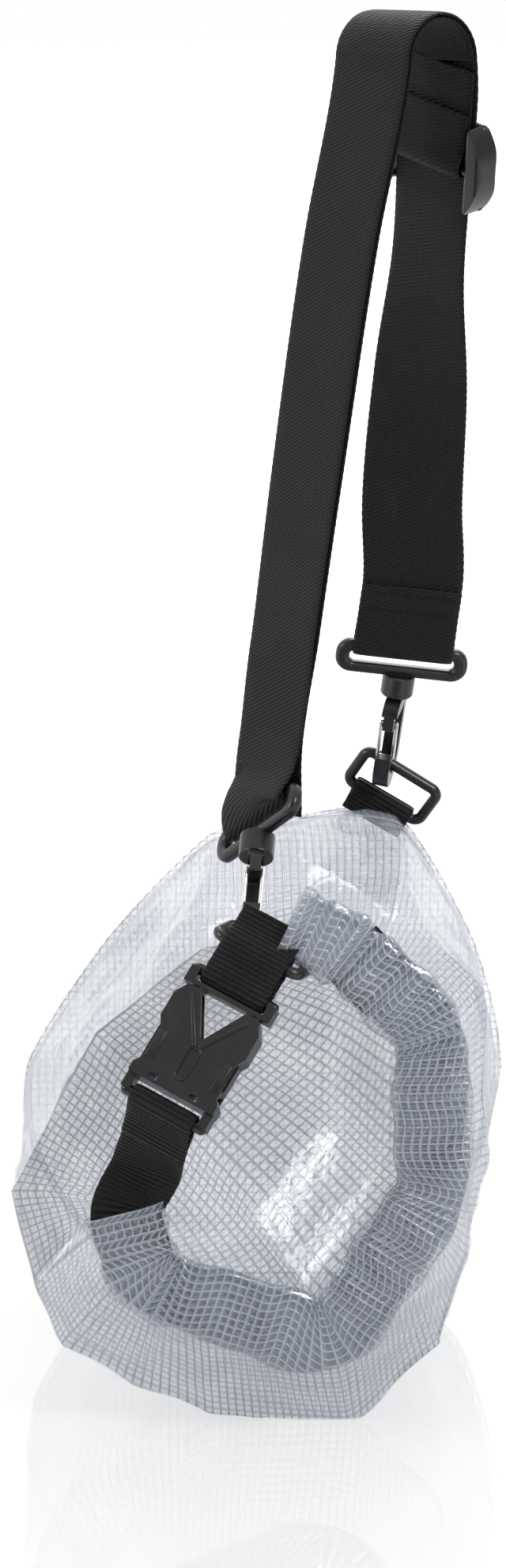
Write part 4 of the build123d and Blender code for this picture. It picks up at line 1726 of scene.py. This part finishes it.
def dress(piece: bpy.types.Object, material: bpy.types.Material, slot: str, body: str, *nodes: str) -> None:
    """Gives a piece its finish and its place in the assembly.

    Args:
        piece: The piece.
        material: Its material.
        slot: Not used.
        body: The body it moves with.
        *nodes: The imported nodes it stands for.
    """
    piece.data.materials.clear()
    piece.data.materials.append(material)
    if body:
        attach(piece, body)
    if nodes:
        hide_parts(*nodes)
    log.info("%s: %d faces on %s", piece.name, len(piece.data.polygons), body or "two bodies")


def finish_node(name: str, material: bpy.types.Material) -> None:
    """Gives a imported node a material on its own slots."""
    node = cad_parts[name]
    if not node.material_slots:
        node.data.materials.append(material)
    for material_slot in node.material_slots:
        material_slot.material = material
    log.info("%s: finish %s", name, material.name)


def main() -> None:
    """Builds every piece in order."""
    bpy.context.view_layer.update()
    bpy.context.scene.view_settings.view_transform = "Standard"
    bpy.context.scene.cycles.transparent_max_bounces = 48
    Shared.build()
    layout, route = Layout(), RolledRoute()
    studio = Studio()
    studio.build_camera()
    studio.build_lights()
    studio.build_floor(StageFinish("polished_floor"))

    wall_film = FilmFinish(
        "bag_film", clear=(0.50, 0.54, 0.63), clear_alpha=0.2, thread_alpha=0.4
    ).build()
    roll_film = FilmFinish(
        "roll_film", clear=(0.19, 0.22, 0.29), thread=(0.33, 0.37, 0.45), clear_alpha=0.10, thread_alpha=0.42,
        cloud_alpha=0.26, wrinkle=0.5, ior=2.5,
    ).build()
    bottom_film = FilmFinish("bottom_film", thread_alpha=0.28, clear_alpha=0.2).build()
    patch_film = FilmFinish("patch_film", clear_alpha=0.3, thread_alpha=0.5).build()
    # The strip's groove colour is painted shade in the grooves of its weave.
    strip = WebbingFinish(
        "mouth_strip_weave", yarn=(0.028, 0.036, 0.058), groove=(0.008, 0.011, 0.019)
    ).build()
    tape = WebbingFinish("closure_webbing", pitch=1.75 * MM, yarn_pitch=1.0 * MM).build()
    strap = WebbingFinish("strap_webbing", pitch=1.45 * MM, lean=0.42, yarn_pitch=0.9 * MM).build()
    moulded = MouldingFinish("moulded_plastic").build()
    wire = WireFinish("steel_wire").build()

    bag = BagFilm(route)
    dress(bag.build_wall(), wall_film, "film", "bag", "bag_shell")
    dress(bag.build_bottom(), bottom_film, "film", "bag", "bag_bottom")
    dress(bag.build_patch(), patch_film, "film", "bag", "rear_tab_patch")

    mouth = RolledMouth(route)
    outer = mouth.sleeve("roll_outer_sleeve", mouth.half_width, mouth.half_thick, 1.3, 0.0)
    dress(outer, roll_film, "film", "bag", "rolled_mouth")
    inner = mouth.sleeve("roll_inner_sleeve", mouth.half_width * 0.9, mouth.half_thick * 0.62, 4.1, 0.03)
    dress(inner, roll_film, "film", "bag")
    dress(mouth.build_stiffener(), strip, "stiffener", "bag", "mouth_stiffener")

    tapes = ClosureTapes(layout, route)
    lower = tapes.build_lower()
    dress(lower, tape, "tape", "", "lower_webbing")
    layout.buckle.at(0, 0, -6.0 * MM)
    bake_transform(lower)
    for piece, nodes in zip(tapes.build_upper(), (["upper_webbing"], [])):
        dress(piece, tape, "tape", "bag", *nodes)
    dress(RearTab(layout).build(), tape, "tape", "bag", "rear_tab")

    straps = ShoulderStrap(layout)
    dress(straps.build_long(), strap, "strap", "bag", "strap_outer_run")
    fixed, moving = straps.build_short()
    dress(fixed, strap, "strap", "bag", "strap_inner_run")
    dress(moving, strap, "strap", "")
    leg = layout.rear_leg
    leg.at(0, 0, layout.slider_below)
    leg.at(0, 0, 19.0 * MM)
    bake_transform(moving)
    dress(straps.build_slider_fold(), strap, "strap", "slider", "slider_fold")

    thread = WebbingFinish(
        "sewing_thread", yarn=(0.02, 0.02, 0.021), pitch=0.5 * MM, yarn_pitch=0.3 * MM
    ).build()
    stitches = Stitching()
    sewn = hinged(layout.rear_bar, layout.rear_hook.x, layout.rear_leg.z)
    proud = straps.thickness + 0.05 * MM
    rows = [(off, along) for off in (-proud, proud) for along in (straps.sewn - 3.0 * MM, 16.0 * MM)]
    dress(stitches.build("strap_stitches", sewn, straps.width * 0.86, rows), thread, "strap", "bag")
    dress(SocketRelief(layout).build(), moulded, "moulding", "socket")

    for name in ("buckle_socket", "buckle_plug", "left_prong", "right_prong", "front_d_ring", "rear_d_ring",
                 "front_strap_loop", "rear_strap_loop", "front_hook", "rear_hook", "slider"):
        finish_node(name, moulded)
    for name in ("front_gate", "rear_gate"):
        finish_node(name, wire)

    bpy.context.view_layer.update()


if __name__ == "__main__":
    main()
